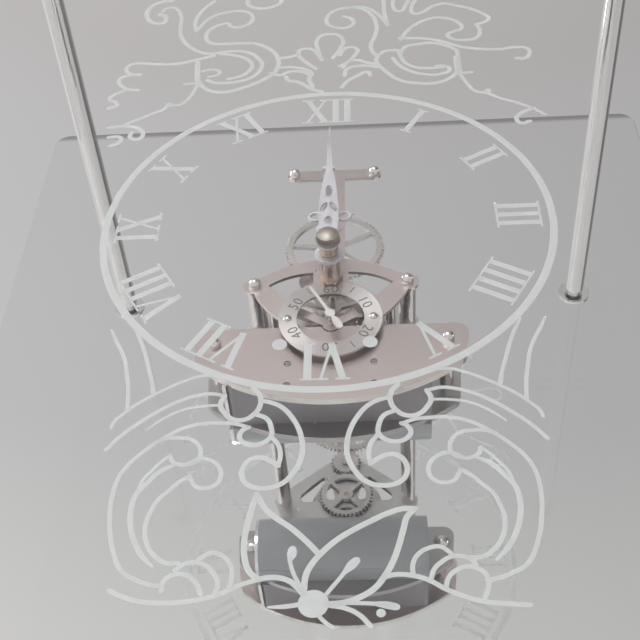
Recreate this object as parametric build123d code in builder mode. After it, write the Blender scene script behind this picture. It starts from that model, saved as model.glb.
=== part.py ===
from build123d import *
import os
from math import acos, atan2, cos, degrees, hypot, radians, sin

# A skeleton table clock: an open quartz movement between a printed front glass and a mirror panel.
# Millimetres. X is right, Y runs back from the viewer, Z is up; the origin is on the table, under the middle.
# Depths are measured back from the printed rear face of the front glass, heights from the dial's centre.

# Panes
pane_width = 242.0
pane_height = 320.0
pane_corner = 6.0
pane_bevel = 0.8
mirror_bevel = 0.3
glass_thickness = 5.0
mirror_thickness = 4.0
mirror_depth = 81.6

# Corner standoffs, their cap screws and the edge feet
standoff_inset = 18.0
standoff_radius = 4.0
standoff_bore_length = 14.0
cap_radius = 7.0
cap_height = 5.0
cap_shank_radius = 2.5
cap_shank_reach = 10.0
foot_base = 2.0
foot_wall = 1.6
foot_height = 8.0
foot_length = 36.0
foot_inset = 34.0

# Fits
fixed_fit = 0.02
running_fit = 0.05
screw_fit = 0.2
head_rim_share = 0.3
cut_over = 1.0
side_play = 0.4

# Front plate with its ears and slots
front_plate_depth = 21.5
front_plate_thickness = 1.0
plate_thickness = 2.0
ear_x = 21.4
ear_z = -1.6
ear_radius = 3.3
arch_top = 8.8
arch_shoulder_x = 14.0
arch_shoulder_z = 5.2
slot_end_x = 17.6
slot_end_z = -1.6
slot_top_z = 3.0
slot_bush_x = 5.0
slot_turn_angle = 34.0
arm_bulge_x = 19.0
arm_bulge_z = -9.2

# Seconds dial
seconds_z = -15.4
ring_outer = 14.2
ring_inner = 9.3
ring_thickness = 0.4
ring_seat_margin = 0.6
ring_screw_radius = 11.75
small_head_radius = 1.2
small_head_height = 0.9
small_shank_radius = 0.7
sunk_head_radius = 0.85
sunk_head_gap = 0.15
sunk_head_depth = 1.0
sunk_slot_width = 0.4
sunk_slot_depth = 0.4
second_hand_depth = 19.2
second_hand_thickness = 0.6
second_hand_length = 12.0
second_hand_tail = 4.4
second_hand_width = 1.0
second_hand_tail_width = 1.8
second_hand_hub = 1.4
second_hand_angle = 28.0

# Hand bush, hour tube and minute arbor
bush_front = 12.8
bush_radius = 3.0
bush_collar_radius = 3.5
bush_collar_length = 1.5
tube_front = 11.2
tube_radius = 2.4
arbor_radius = 1.8
arbor_stub_radius = 1.5
arbor_tail_radius = 0.8
arbor_collar_radius = 2.6
minute_hand_depth = 7.6
hour_hand_depth = 11.6
hand_thickness = 0.8
minute_hand_length = 53.5
minute_hub_radius = 2.7
hour_hand_length = 40.6
hour_hub_radius = 4.0
hour_body_half = 2.7
hour_body_z = 15.6
needle_half = 0.9
needle_tip_half = 0.2
minute_step_z = 33.4
minute_step_width = 3.4
minute_step_height = 1.2
minute_shoulder_half = 2.0
minute_body_z = 17.0
minute_body_half = 2.75
minute_waist_half = 2.7
minute_root_half = 2.2
minute_eye_z = 22.4
minute_eye_half = 1.0
minute_eye_reach = 2.6
minute_leaf_x = 1.3
minute_leaf_z = 15.2
minute_leaf_half = 0.85
minute_leaf_reach = 2.2
minute_leaf_turn = 22.0
minute_drop_z = 9.4
minute_drop_half = 1.1
minute_drop_reach = 1.7
hour_shoulder_half = 1.6
hour_waist_half = 2.6
hour_root_half = 2.35
hour_eye_z = 18.1
hour_eye_half = 1.5
hour_eye_reach = 3.6
scroll_x = 4.2
scroll_z = 16.0
scroll_radius = 2.0
scroll_width = 0.6
spur_x = 7.0
spur_rise = 0.9
spur_half = 0.6
petal_x = 2.4
petal_z = 11.0
petal_radius = 1.3
nut_front = 3.6
nut_cap = 1.0
nut_radius = 3.4
nut_dome = 1.0
nut_dome_radius = 2.85
nut_back_rim = 0.8
nut_neck_radius = 2.5
knurl_radius = 3.2
knurl_core = 2.7
knurl_count = 26
knurl_cut = 0.35
knurl_length = 1.6

# Ball nuts, pillars and plate screws
ball_radius = 1.75
ball_seat_radius = 1.5
stud_radius = 1.4
stud_length = 5.0
pillar_radius = 2.5
rear_head_radius = 2.4
rear_head_height = 2.0

# Rear plate
rear_plate_depth = 37.0
rear_plate_top = 12.0
rear_plate_top_radius = 6.0
rear_plate_foot_x = 14.0
rear_plate_foot_z = -20.5
rear_plate_foot_radius = 3.0
tub_screw_x = 10.0
tub_screw_z = -20.0
middle_window_z = -7.6
middle_window_radius = 3.2
side_window_x = 12.4
side_window_z = -13.0
side_window_length = 9.0
side_window_width = 3.6
upper_window = [(14.0, 0.2), (7.5, 6.5), (6.0, 0.0)]
upper_window_radius = 2.0

# Wheel train
train_module = 0.3
third_module = 0.33
seconds_drive_module = 0.4
upper_module = 0.45
motion_module = 0.25
centre_teeth = 80
third_pinion_teeth = 8
third_teeth = 48
seconds_pinion_teeth = 8
seconds_wheel_teeth = 40
drive_teeth = 10
cannon_teeth = 12
motion_teeth = 36
motion_pinion_teeth = 10
hour_teeth = 40
rear_drive_teeth = 40
idler_teeth = 22
upper_teeth = 68
motion_angle = 140.0
upper_spoke_angle = 29.0
wheel_thickness = 1.2
wheel_rim = 1.6
wheel_spoke = 1.3
pinion_length = 1.6
train_arbor_radius = 0.6
stud_shaft_radius = 0.9
stud_head_radius = 1.7
stud_collar_radius = 1.5
stud_head_length = 0.6
stud_collar_gap = 0.28
wheel_hub = 2.4
upper_hub = 3.0
hour_hub = 3.2
motion_hub_radius = 0.95
motion_wheel_hub = 1.6
pinion_slim = 0.9
tooth_root = 1.15
tooth_tip = 0.8
root_share = 0.25
tip_share = 0.09
hour_wheel_depth = 23.0
cannon_depth = 24.8
motion_wheel_depth = 24.9
seconds_wheel_depth = 27.4
third_wheel_depth = 30.6
centre_wheel_depth = 32.7
rear_wheel_gap = 0.5

# Train bridge
bridge_depth = 24.0
bridge_thickness = 1.6
bridge_pillar_x = 16.5
bridge_pillar_z = -5.0
bridge_pillar_radius = 1.4
bridge_boss = 2.3
bridge_strap = 1.3

# Upper T-shaped bridge
upper_bridge_depth = 36.0
crossbar_z = 66.8
crossbar_height = 4.6
crossbar_ball_x = 13.2
stem_width = 7.0
stem_foot_z = 5.2
stem_screw_z = 8.4

# Lower plates
lower_front_depth = 24.0
lower_top_z = -16.0
lower_pillar_margin = 4.25
lower_end_margin = 6.2
lower_taper = 1.5
lower_side_z = -28.7
lower_bottom_z = -42.3
lower_rear_depth = 41.0
lower_rear_step = 1.7
lower_rear_taper = 1.1
lower_rear_side_z = -29.3
lower_rear_bottom_z = -41.2
lower_corner = 3.5
lower_pillar_z = -22.0
lower_pillar_radius = 2.0

# Quartz module, battery tub and cell
housing_z = -25.7
housing_radius = 10.0
housing_middle = -0.55
module_top_z = -24.2
module_corner = 1.5
module_screw_x = 11.5
module_screw_z = -29.5
module_lug_z = -37.0
module_lug_radius = 1.9
module_lug_length = 2.4
module_rib_x = -5.0
module_rib_width = 0.9
module_rib_height = 0.6
drive_bearing_length = 5.0
tub_wall = 1.2
tub_middle_depth = 46.0
tub_inner_radius = 8.2
cover_seat_radius = 9.0
cover_angle = 73.0
cover_gap_angle = 0.6
cover_opening_angle = 65.0
cover_fit = 0.05
cell_radius = 7.25
cell_length = 49.2
cell_nub_radius = 2.7
cell_nub_length = 1.3
cell_setback = 1.3
cell_lift = 0.3
cell_fit = 0.1
cell_edge = 0.4
contact_thickness = 0.4
contact_size = 8.0
contact_room = 1.15
clip_thickness = 1.0

# Places that follow from the sizes above
print_y = -(mirror_depth + mirror_thickness - glass_thickness) / 2
dial_z = foot_base + pane_height / 2
standoff_x = pane_width / 2 - standoff_inset
standoff_z = pane_height / 2 - standoff_inset
front_plate_back = front_plate_depth + front_plate_thickness
rear_plate_back = rear_plate_depth + plate_thickness
upper_bridge_thickness = rear_plate_depth - upper_bridge_depth
ring_depth = front_plate_depth - ring_thickness
bridge_back = bridge_depth + bridge_thickness
lower_front_back = lower_front_depth + plate_thickness
lower_rear_back = lower_rear_depth + plate_thickness
rear_wheel_depth = rear_plate_back + rear_wheel_gap
rear_wheel_back = rear_wheel_depth + wheel_thickness
housing_bottom = housing_z - housing_radius
housing_top = housing_z + housing_radius
housing_length = 2 * tub_wall + contact_thickness + cover_fit + cell_nub_length + cell_length + contact_room
housing_left = housing_middle - housing_length / 2
housing_right = housing_middle + housing_length / 2
cell_depth = tub_middle_depth + cell_setback
cell_z = housing_z + cell_lift
lower_pillar_x = housing_length / 2 + lower_pillar_margin
lower_half_width = lower_pillar_x + lower_end_margin
lower_side_x = lower_half_width - lower_taper
lower_rear_half_width = lower_half_width - lower_rear_step
lower_rear_side_x = lower_rear_half_width - lower_rear_taper


def pitch_radius(teeth, module):
    """Radius at which two wheels roll on each other."""
    return teeth * module / 2


def centre_distance(teeth_a, teeth_b, module):
    return pitch_radius(teeth_a, module) + pitch_radius(teeth_b, module)


# The third arbor meshes both ways: with the centre wheel above it and the seconds pinion below
third_to_centre = centre_distance(centre_teeth, third_pinion_teeth, train_module)
third_to_seconds = centre_distance(third_teeth, seconds_pinion_teeth, third_module)
third_angle = acos((third_to_centre**2 + seconds_z**2 - third_to_seconds**2)
                   / (2 * third_to_centre * -seconds_z))
third_x = third_to_centre * sin(third_angle)
third_z = -third_to_centre * cos(third_angle)
drive_z = seconds_z - centre_distance(seconds_wheel_teeth, drive_teeth, seconds_drive_module)
motion_distance = centre_distance(cannon_teeth, motion_teeth, motion_module)
motion_x = motion_distance * cos(radians(motion_angle))
motion_z = motion_distance * sin(radians(motion_angle))
hour_module = 2 * motion_distance / (motion_pinion_teeth + hour_teeth)
idler_z = centre_distance(rear_drive_teeth, idler_teeth, upper_module)
upper_z = idler_z + centre_distance(idler_teeth, upper_teeth, upper_module)


def front_plane(depth, x=0.0, z=0.0, turn=0.0):
    """Plane that faces the viewer, turned by this angle; extruding by a negative amount goes back."""
    across = (cos(radians(turn)), 0, sin(radians(turn)))
    return Plane((x, print_y + depth, dial_z + z), x_dir=across, z_dir=(0, -1, 0))


def arbor_plane(x, z):
    """Plane through an axis that runs straight back: its x is the depth, its y the radius."""
    return Plane((x, print_y, dial_z + z), x_dir=(0, 1, 0), z_dir=(1, 0, 0))


def arbor_axis(x, z):
    return Axis((x, 0, dial_z + z), (0, 1, 0))


def keep(piece, name):
    """Label a finished piece and write it out."""
    piece.label = name
    export_step(piece, f"parts/{name}.step")


def turned(x, z, outline):
    """Bar or tube turned about the axis at x, z, from (depth, radius) corners."""
    with BuildPart() as bar:
        with BuildSketch(arbor_plane(x, z)):
            with BuildLine():
                Polyline(*outline, close=True)
            make_face()
        revolve(axis=arbor_axis(x, z))
    return bar.part


def domed_screw(x, z, seat, way, head_radius, head_height, shank_radius, shank_length):
    """Screw with a domed head on the side that way points to (-1 is the front)."""
    edge = seat + way * head_height * head_rim_share
    tip = seat + way * head_height
    end = seat - way * shank_length
    with BuildPart() as screw:
        with BuildSketch(arbor_plane(x, z)):
            with BuildLine():
                TangentArc((tip, 0), (edge, head_radius), tangent=(0, 1))
                Polyline((edge, head_radius), (seat, head_radius), (seat, shank_radius), (end, shank_radius),
                         (end, 0), (tip, 0))
            make_face()
        revolve(axis=arbor_axis(x, z))
    return screw.part


def ball_nut(x, z, seat, shank_length):
    """Ball-headed nut seated on a plate's front face, with its stud going back."""
    middle = seat - (ball_radius**2 - ball_seat_radius**2) ** 0.5
    tip = middle - ball_radius
    end = seat + shank_length
    with BuildPart() as nut:
        with BuildSketch(arbor_plane(x, z)):
            with BuildLine():
                ThreePointArc((tip, 0), (middle, ball_radius), (seat, ball_seat_radius))
                Polyline((seat, ball_seat_radius), (seat, stud_radius), (end, stud_radius), (end, 0),
                         (tip, 0))
            make_face()
        revolve(axis=arbor_axis(x, z))
    return nut.part


def pillar(x, z, front, back, radius, stud=0.0):
    """Plain pillar with a tapped bore in each end, or a stud at the back."""
    bore = stud_radius + fixed_fit
    depth = stud_length + 1
    head = [(front, bore), (front, radius), (back, radius)]
    if stud:
        tail = [(back, stud_radius), (back + stud, stud_radius), (back + stud, 0)]
    else:
        tail = [(back, bore), (back - depth, bore), (back - depth, 0)]
    return turned(x, z, head + tail + [(front + depth, 0), (front + depth, bore)])


def tooth_points(teeth, module, phase, slim):
    """Corners of a toothed outline, four to a tooth; phase is the angle of one tooth's middle."""
    pitch = 360 / teeth
    middle = pitch_radius(teeth, module)
    root = middle - tooth_root * module
    tip = middle + tooth_tip * module
    points = []
    for number in range(teeth):
        for radius, share in ((root, -root_share), (tip, -tip_share), (tip, tip_share), (root, root_share)):
            turn = radians(phase + pitch * (number + share * slim))
            points.append((radius * cos(turn), radius * sin(turn)))
    return points


def meshed_phase(angle, teeth_a, phase_a, teeth_b):
    """Phase of wheel b, seen at this angle from wheel a, that puts its gap on a's tooth."""
    offset = (angle - phase_a) % (360 / teeth_a)
    return angle + 180 + offset * teeth_a / teeth_b + 180 / teeth_b


def bearing(x_from, z_from, x_to, z_to):
    """Angle from one arbor to another, seen from the front."""
    return degrees(atan2(z_to - z_from, x_to - x_from))


def wheel(x, z, depth, teeth, module, phase, bore, hub, spokes=0, spoke_angle=0.0, slim=1.0,
          rim=wheel_rim, spoke=wheel_spoke):
    """Toothed wheel with a raised hub, crossed out to spokes where it has them."""
    with BuildPart() as gear:
        with BuildSketch(front_plane(depth, x, z)):
            with BuildLine():
                Polyline(*tooth_points(teeth, module, phase, slim), close=True)
            make_face()
            if spokes:
                inner = pitch_radius(teeth, module) - tooth_root * module - rim
                Circle(inner, mode=Mode.SUBTRACT)
                Circle(hub)
                with PolarLocations(inner / 2 + rim / 4, spokes, start_angle=spoke_angle):
                    Rectangle(inner + rim / 2, spoke)
            Circle(bore, mode=Mode.SUBTRACT)
        extrude(amount=-wheel_thickness)
        with BuildSketch(front_plane(depth - side_play / 2, x, z)):
            Circle(hub)
            Circle(bore, mode=Mode.SUBTRACT)
        extrude(amount=-(wheel_thickness + side_play))
    return gear.part


def pinion_arbor(x, z, front, back, radius, leaves_depth, leaves_length, teeth, module, phase):
    """Arbor with its pinion leaves cut from the same bar."""
    with BuildPart() as arbor:
        with BuildSketch(front_plane(front, x, z)):
            Circle(radius)
        extrude(amount=-(back - front))
        with BuildSketch(front_plane(leaves_depth, x, z)):
            with BuildLine():
                Polyline(*tooth_points(teeth, module, phase, pinion_slim), close=True)
            make_face()
        extrude(amount=-leaves_length)
    return arbor.part


os.makedirs("parts", exist_ok=True)

# Front glass: a polished pane with a screw hole in each corner
with BuildPart() as front_glass:
    with BuildSketch(front_plane(-glass_thickness)):
        RectangleRounded(pane_width, pane_height, pane_corner)
        with GridLocations(2 * standoff_x, 2 * standoff_z, 2, 2):
            Circle(cap_shank_radius + screw_fit, mode=Mode.SUBTRACT)
    extrude(amount=-glass_thickness)
    chamfer(front_glass.faces().sort_by(Axis.Y)[0].outer_wire().edges(), pane_bevel)
keep(front_glass.part, "front_glass")

# Mirror panel: the same outline, with two more holes for the pillars that carry the movement
with BuildPart() as mirror_panel:
    with BuildSketch(front_plane(mirror_depth)):
        RectangleRounded(pane_width, pane_height, pane_corner)
        with GridLocations(2 * standoff_x, 2 * standoff_z, 2, 2):
            Circle(cap_shank_radius + screw_fit, mode=Mode.SUBTRACT)
        with Locations((-ear_x, ear_z), (ear_x, ear_z)):
            Circle(stud_radius + screw_fit, mode=Mode.SUBTRACT)
    extrude(amount=-mirror_thickness)
    chamfer(mirror_panel.faces().sort_by(Axis.Y)[0].outer_wire().edges(), mirror_bevel)
keep(mirror_panel.part, "mirror_panel")

# Standoffs: bars with a tapped bore in each end
corners = {
    "upper_left": (-standoff_x, standoff_z),
    "upper_right": (standoff_x, standoff_z),
    "lower_left": (-standoff_x, -standoff_z),
    "lower_right": (standoff_x, -standoff_z),
}
standoff_bore = cap_shank_radius + fixed_fit
standoff_outline = [
    (0, standoff_bore),
    (0, standoff_radius),
    (mirror_depth, standoff_radius),
    (mirror_depth, standoff_bore),
    (mirror_depth - standoff_bore_length, standoff_bore),
    (mirror_depth - standoff_bore_length, 0),
    (standoff_bore_length, 0),
    (standoff_bore_length, standoff_bore),
]
for place, (x, z) in corners.items():
    keep(turned(x, z, standoff_outline), f"standoff_{place}")

# Cap screws through the panes into the standoffs
with BuildPart() as front_cap_screws:
    for x, z in corners.values():
        add(domed_screw(x, z, -glass_thickness, -1, cap_radius, cap_height, cap_shank_radius,
                        glass_thickness + cap_shank_reach))
keep(front_cap_screws.part, "front_cap_screws")

with BuildPart() as rear_cap_screws:
    for x, z in corners.values():
        add(domed_screw(x, z, mirror_depth + mirror_thickness, 1, cap_radius, cap_height, cap_shank_radius,
                        mirror_thickness + cap_shank_reach))
keep(rear_cap_screws.part, "rear_cap_screws")

# Edge feet: rubber channels that grip the lower edges of the two panes
with BuildPart() as edge_feet:
    for front, thickness in ((-glass_thickness, glass_thickness), (mirror_depth, mirror_thickness)):
        for side in (-1, 1):
            x = side * (pane_width / 2 - foot_inset)
            outer = thickness + 2 * foot_wall
            with BuildSketch(Plane((x - foot_length / 2, print_y + front + thickness / 2, 0),
                                   x_dir=(0, 1, 0), z_dir=(1, 0, 0))):
                Rectangle(outer, foot_height, align=(Align.CENTER, Align.MIN))
                with Locations((0, foot_base)):
                    Rectangle(thickness + 2 * fixed_fit, foot_height, align=(Align.CENTER, Align.MIN),
                              mode=Mode.SUBTRACT)
            extrude(amount=foot_length)
keep(edge_feet.part, "edge_feet")

# Front plate: two ears, an arch over a pair of slots, and a ring-shaped seat for the seconds dial
seat_outer = ring_outer - ring_seat_margin
seat_inner = ring_inner + ring_seat_margin
slot_radius = ring_outer + ring_seat_margin
ear_top = ear_z + ear_radius
ear_bottom = ear_z - ear_radius
slot_low_z = seconds_z + (slot_radius**2 - slot_bush_x**2) ** 0.5
slot_turn_x = slot_radius * cos(radians(slot_turn_angle))
slot_turn_z = seconds_z + slot_radius * sin(radians(slot_turn_angle))
with BuildPart() as front_plate:
    with BuildSketch(front_plane(front_plate_depth)):
        with BuildLine():
            TangentArc((0, arch_top), (arch_shoulder_x, arch_shoulder_z), tangent=(1, 0))
            Polyline((arch_shoulder_x, arch_shoulder_z), (ear_x - ear_radius / 2, ear_top), (ear_x, ear_top))
            ThreePointArc((ear_x, ear_top), (ear_x + ear_radius, ear_z), (ear_x, ear_bottom))
            ThreePointArc((ear_x, ear_bottom), (arm_bulge_x, arm_bulge_z), (seat_outer, seconds_z))
            RadiusArc((seat_outer, seconds_z), (0, seconds_z - seat_outer), seat_outer)
            Line((0, seconds_z - seat_outer), (0, arch_top))
        make_face()
        mirror(about=Plane.YZ)
        with Locations((0, seconds_z)):
            Circle(seat_inner, mode=Mode.SUBTRACT)
        with Locations((-ear_x, ear_z), (ear_x, ear_z)):
            Circle(stud_radius + fixed_fit, mode=Mode.SUBTRACT)
        with Locations((-ring_screw_radius, seconds_z), (ring_screw_radius, seconds_z)):
            Circle(small_shank_radius + fixed_fit, mode=Mode.SUBTRACT)
        with Locations((motion_x, motion_z)):
            Circle(train_arbor_radius + fixed_fit, mode=Mode.SUBTRACT)
        Circle(bush_radius + fixed_fit, mode=Mode.SUBTRACT)
    extrude(amount=-front_plate_thickness)
    with BuildSketch(front_plane(front_plate_depth)):
        with BuildLine():
            TangentArc((slot_bush_x, slot_top_z), (slot_end_x, slot_end_z), tangent=(1, 0))
            Polyline((slot_end_x, slot_end_z), (slot_turn_x, slot_turn_z))
            RadiusArc((slot_turn_x, slot_turn_z), (slot_bush_x, slot_low_z), -slot_radius)
            Line((slot_bush_x, slot_low_z), (slot_bush_x, slot_top_z))
        make_face()
        mirror(about=Plane.YZ)
    extrude(amount=-front_plate_thickness, mode=Mode.SUBTRACT)
keep(front_plate.part, "front_plate")

# Seconds dial: a flat ring held by two small screws
with BuildPart() as seconds_ring:
    with BuildSketch(front_plane(ring_depth, 0, seconds_z)):
        Circle(ring_outer)
        Circle(ring_inner, mode=Mode.SUBTRACT)
        with Locations((-ring_screw_radius, 0), (ring_screw_radius, 0)):
            Circle(small_shank_radius + fixed_fit, mode=Mode.SUBTRACT)
        with Locations((0, -seconds_z)):
            Circle(bush_collar_radius + screw_fit, mode=Mode.SUBTRACT)
    extrude(amount=-ring_thickness)
keep(seconds_ring.part, "seconds_ring")

with BuildPart() as ring_screws:
    for x in (-ring_screw_radius, ring_screw_radius):
        add(domed_screw(x, seconds_z, ring_depth, -1, small_head_radius, small_head_height,
                        small_shank_radius, ring_thickness + front_plate_thickness))
keep(ring_screws.part, "ring_screws")

# Hand bush: a brass tube with a six-sided collar, set in the front plate
bush_bore = tube_radius + running_fit
collar_front = front_plate_depth - bush_collar_length
with BuildPart() as hand_bush:
    add(turned(0, 0, [
        (bush_front, bush_bore),
        (bush_front, bush_radius),
        (front_plate_back, bush_radius),
        (front_plate_back, bush_bore),
    ]))
    with BuildSketch(front_plane(collar_front)):
        RegularPolygon(bush_collar_radius, 6)
        Circle(bush_bore, mode=Mode.SUBTRACT)
    extrude(amount=-bush_collar_length)
keep(hand_bush.part, "hand_bush")

# Ball nuts on the ears, the lower plate's corners and the ends of the upper crossbar
with BuildPart() as ball_nuts:
    for side in (-1, 1):
        add(ball_nut(side * ear_x, ear_z, front_plate_depth, front_plate_thickness + stud_length))
        add(ball_nut(side * lower_pillar_x, lower_pillar_z, lower_front_depth, plate_thickness + stud_length))
        add(ball_nut(side * crossbar_ball_x, crossbar_z, upper_bridge_depth, upper_bridge_thickness))
keep(ball_nuts.part, "ball_nuts")

# Pillars: the ear pillars run through the rear plate to the mirror panel, the lower pair joins the two
# lower plates
for side, name in ((-1, "left"), (1, "right")):
    keep(pillar(side * ear_x, ear_z, front_plate_back, rear_plate_depth, pillar_radius,
                stud=plate_thickness + stud_length), f"ear_pillar_front_{name}")
    keep(pillar(side * ear_x, ear_z, rear_plate_back, mirror_depth, pillar_radius), f"ear_pillar_rear_{name}")
    keep(pillar(side * lower_pillar_x, lower_pillar_z, lower_front_back, lower_rear_depth,
                lower_pillar_radius), f"lower_pillar_{name}")

with BuildPart() as rear_screws:
    for side in (-1, 1):
        add(domed_screw(side * ear_x, ear_z, mirror_depth + mirror_thickness, 1, rear_head_radius,
                        rear_head_height, stud_radius, mirror_thickness + stud_length))
        add(domed_screw(side * lower_pillar_x, lower_pillar_z, lower_rear_back, 1, rear_head_radius,
                        rear_head_height, stud_radius, plate_thickness + stud_length))
keep(rear_screws.part, "rear_screws")

# Rear plate: carries the back pivots, with windows cut between them
with BuildPart() as rear_plate:
    with BuildSketch(front_plane(rear_plate_depth)):
        with Locations((-ear_x, ear_z), (ear_x, ear_z)):
            Circle(ear_radius)
        with Locations((0, rear_plate_top)):
            Circle(rear_plate_top_radius)
        with Locations((-rear_plate_foot_x, rear_plate_foot_z), (rear_plate_foot_x, rear_plate_foot_z)):
            Circle(rear_plate_foot_radius)
        make_hull()
    extrude(amount=-plate_thickness)
    with BuildSketch(front_plane(rear_plate_depth)):
        Circle(arbor_tail_radius + running_fit)
        with Locations((third_x, third_z), (0, seconds_z)):
            Circle(train_arbor_radius + running_fit)
        with Locations((-ear_x, ear_z), (ear_x, ear_z)):
            Circle(stud_radius + fixed_fit)
        with Locations((-bridge_pillar_x, bridge_pillar_z), (bridge_pillar_x, bridge_pillar_z),
                       (-tub_screw_x, tub_screw_z), (tub_screw_x, tub_screw_z), (0, stem_screw_z)):
            Circle(small_shank_radius + fixed_fit)
        with Locations((0, idler_z)):
            Circle(stud_shaft_radius + fixed_fit)
        with Locations((0, middle_window_z)):
            Circle(middle_window_radius)
        with Locations((-side_window_x, side_window_z), (side_window_x, side_window_z)):
            SlotOverall(side_window_length, side_window_width, rotation=90)
    extrude(amount=-plate_thickness, mode=Mode.SUBTRACT)
    for side in (-1, 1):
        with BuildSketch(front_plane(rear_plate_depth)):
            with Locations(*[(side * x, z) for x, z in upper_window]):
                Circle(upper_window_radius)
            make_hull()
        extrude(amount=-plate_thickness, mode=Mode.SUBTRACT)
keep(rear_plate.part, "rear_plate")

# Train bridge: a V-shaped strap with the front pivots of the seconds and third arbors
bridge_points = [
    (-bridge_pillar_x, bridge_pillar_z),
    (0, seconds_z),
    (third_x, third_z),
    (bridge_pillar_x, bridge_pillar_z),
]
with BuildPart() as train_bridge:
    for start, end in zip(bridge_points, bridge_points[1:]):
        with BuildSketch(front_plane(bridge_depth)):
            with Locations(start, end):
                Circle(bridge_strap)
            make_hull()
        extrude(amount=-bridge_thickness)
    with BuildSketch(front_plane(bridge_depth)):
        with Locations(*bridge_points):
            Circle(bridge_boss)
    extrude(amount=-bridge_thickness)
    with BuildSketch(front_plane(bridge_depth)):
        with Locations(*bridge_points[1:3]):
            Circle(train_arbor_radius + running_fit)
        with Locations(bridge_points[0], bridge_points[3]):
            Circle(small_shank_radius + fixed_fit)
    extrude(amount=-bridge_thickness, mode=Mode.SUBTRACT)
keep(train_bridge.part, "train_bridge")

bridge_bore_end = bridge_back + stud_length
with BuildPart() as bridge_pillars:
    for side in (-1, 1):
        add(turned(side * bridge_pillar_x, bridge_pillar_z, [
            (bridge_back, small_shank_radius + fixed_fit),
            (bridge_back, bridge_pillar_radius),
            (rear_plate_depth, bridge_pillar_radius),
            (rear_plate_depth, small_shank_radius),
            (rear_plate_back, small_shank_radius),
            (rear_plate_back, 0),
            (bridge_bore_end, 0),
            (bridge_bore_end, small_shank_radius + fixed_fit),
        ]))
keep(bridge_pillars.part, "bridge_pillars")

# Plate screws: two in the train bridge, two from the rear plate into the battery tub, one in the upper bridge
with BuildPart() as plate_screws:
    for side in (-1, 1):
        add(domed_screw(side * bridge_pillar_x, bridge_pillar_z, bridge_depth, -1, small_head_radius,
                        small_head_height, small_shank_radius, bridge_thickness + stud_length / 2))
        add(domed_screw(side * tub_screw_x, tub_screw_z, rear_plate_depth, -1, small_head_radius,
                        small_head_height, small_shank_radius, plate_thickness + tub_wall - screw_fit))
    add(domed_screw(0, stem_screw_z, upper_bridge_depth, -1, small_head_radius, small_head_height,
                    small_shank_radius, upper_bridge_thickness + plate_thickness))
keep(plate_screws.part, "plate_screws")

# Upper bridge: a T-shaped strap that stands above the movement and carries the spoked wheel
with BuildPart() as upper_bridge:
    with BuildSketch(front_plane(upper_bridge_depth)):
        with Locations((0, crossbar_z)):
            SlotOverall(2 * crossbar_ball_x + crossbar_height, crossbar_height)
        with Locations((0, (crossbar_z + stem_foot_z) / 2)):
            Rectangle(stem_width, crossbar_z - stem_foot_z)
        with Locations((0, stem_screw_z)):
            Circle(small_shank_radius + fixed_fit, mode=Mode.SUBTRACT)
        with Locations((0, idler_z), (0, upper_z)):
            Circle(stud_shaft_radius + fixed_fit, mode=Mode.SUBTRACT)
        with Locations((-crossbar_ball_x, crossbar_z), (crossbar_ball_x, crossbar_z)):
            Circle(stud_radius + fixed_fit, mode=Mode.SUBTRACT)
    extrude(amount=-upper_bridge_thickness)
keep(upper_bridge.part, "upper_bridge")

# Studs that the idler and the upper wheel turn on: a collar in front of the wheel, a head behind it
stud_head_front = rear_wheel_back + side_play
stud_head_back = stud_head_front + stud_head_length
with BuildPart() as wheel_studs:
    for z, seat in ((idler_z, rear_plate_back), (upper_z, rear_plate_depth)):
        add(turned(0, z, [
            (upper_bridge_depth, 0),
            (upper_bridge_depth, stud_shaft_radius),
            (seat, stud_shaft_radius),
            (seat, stud_collar_radius),
            (rear_wheel_depth - stud_collar_gap, stud_collar_radius),
            (rear_wheel_depth - stud_collar_gap, stud_shaft_radius),
            (stud_head_front, stud_shaft_radius),
            (stud_head_front, stud_head_radius),
            (stud_head_back, stud_head_radius),
            (stud_head_back, 0),
        ]))
keep(wheel_studs.part, "wheel_studs")


def lower_plate_outline(half_width, side_x, side_z, bottom_z):
    """Straight top, slightly drawn-in sides and one wide arc below."""
    with BuildLine() as outline:
        Polyline((-side_x, side_z), (-half_width, lower_top_z), (half_width, lower_top_z), (side_x, side_z))
        ThreePointArc((side_x, side_z), (0, bottom_z), (-side_x, side_z))
    make_face(outline.edges())


# Lower front plate: the bright shield below the seconds dial, with four screws sunk in its face
module_screw_places = [(side * module_screw_x, z) for z in (module_screw_z, module_lug_z) for side in (-1, 1)]
with BuildPart() as lower_front_plate:
    with BuildSketch(front_plane(lower_front_depth)) as lower_front_face:
        lower_plate_outline(lower_half_width, lower_side_x, lower_side_z, lower_bottom_z)
        fillet(lower_front_face.vertices(), lower_corner)
        with Locations((0, seconds_z)):
            Circle(bridge_boss + side_play, mode=Mode.SUBTRACT)
        with Locations((-lower_pillar_x, lower_pillar_z), (lower_pillar_x, lower_pillar_z)):
            Circle(stud_radius + fixed_fit, mode=Mode.SUBTRACT)
        with Locations(*module_screw_places):
            Circle(small_shank_radius + fixed_fit, mode=Mode.SUBTRACT)
    extrude(amount=-plate_thickness)
    with BuildSketch(front_plane(lower_front_depth)):
        with Locations(*module_screw_places):
            Circle(sunk_head_radius + screw_fit)
    extrude(amount=-sunk_head_depth, mode=Mode.SUBTRACT)
keep(lower_front_plate.part, "lower_front_plate")

# The cell lies across the lower rear plate: half of it in the module's trough, half in the tub behind
contact_right = housing_right - tub_wall - contact_thickness
cell_right = contact_right - cover_fit
cell_left = cell_right - cell_nub_length - cell_length
window_left = cell_left - screw_fit
window_right = contact_right + screw_fit
window_half = (cell_radius**2 - (cell_depth - lower_rear_back) ** 2) ** 0.5 + screw_fit

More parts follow.
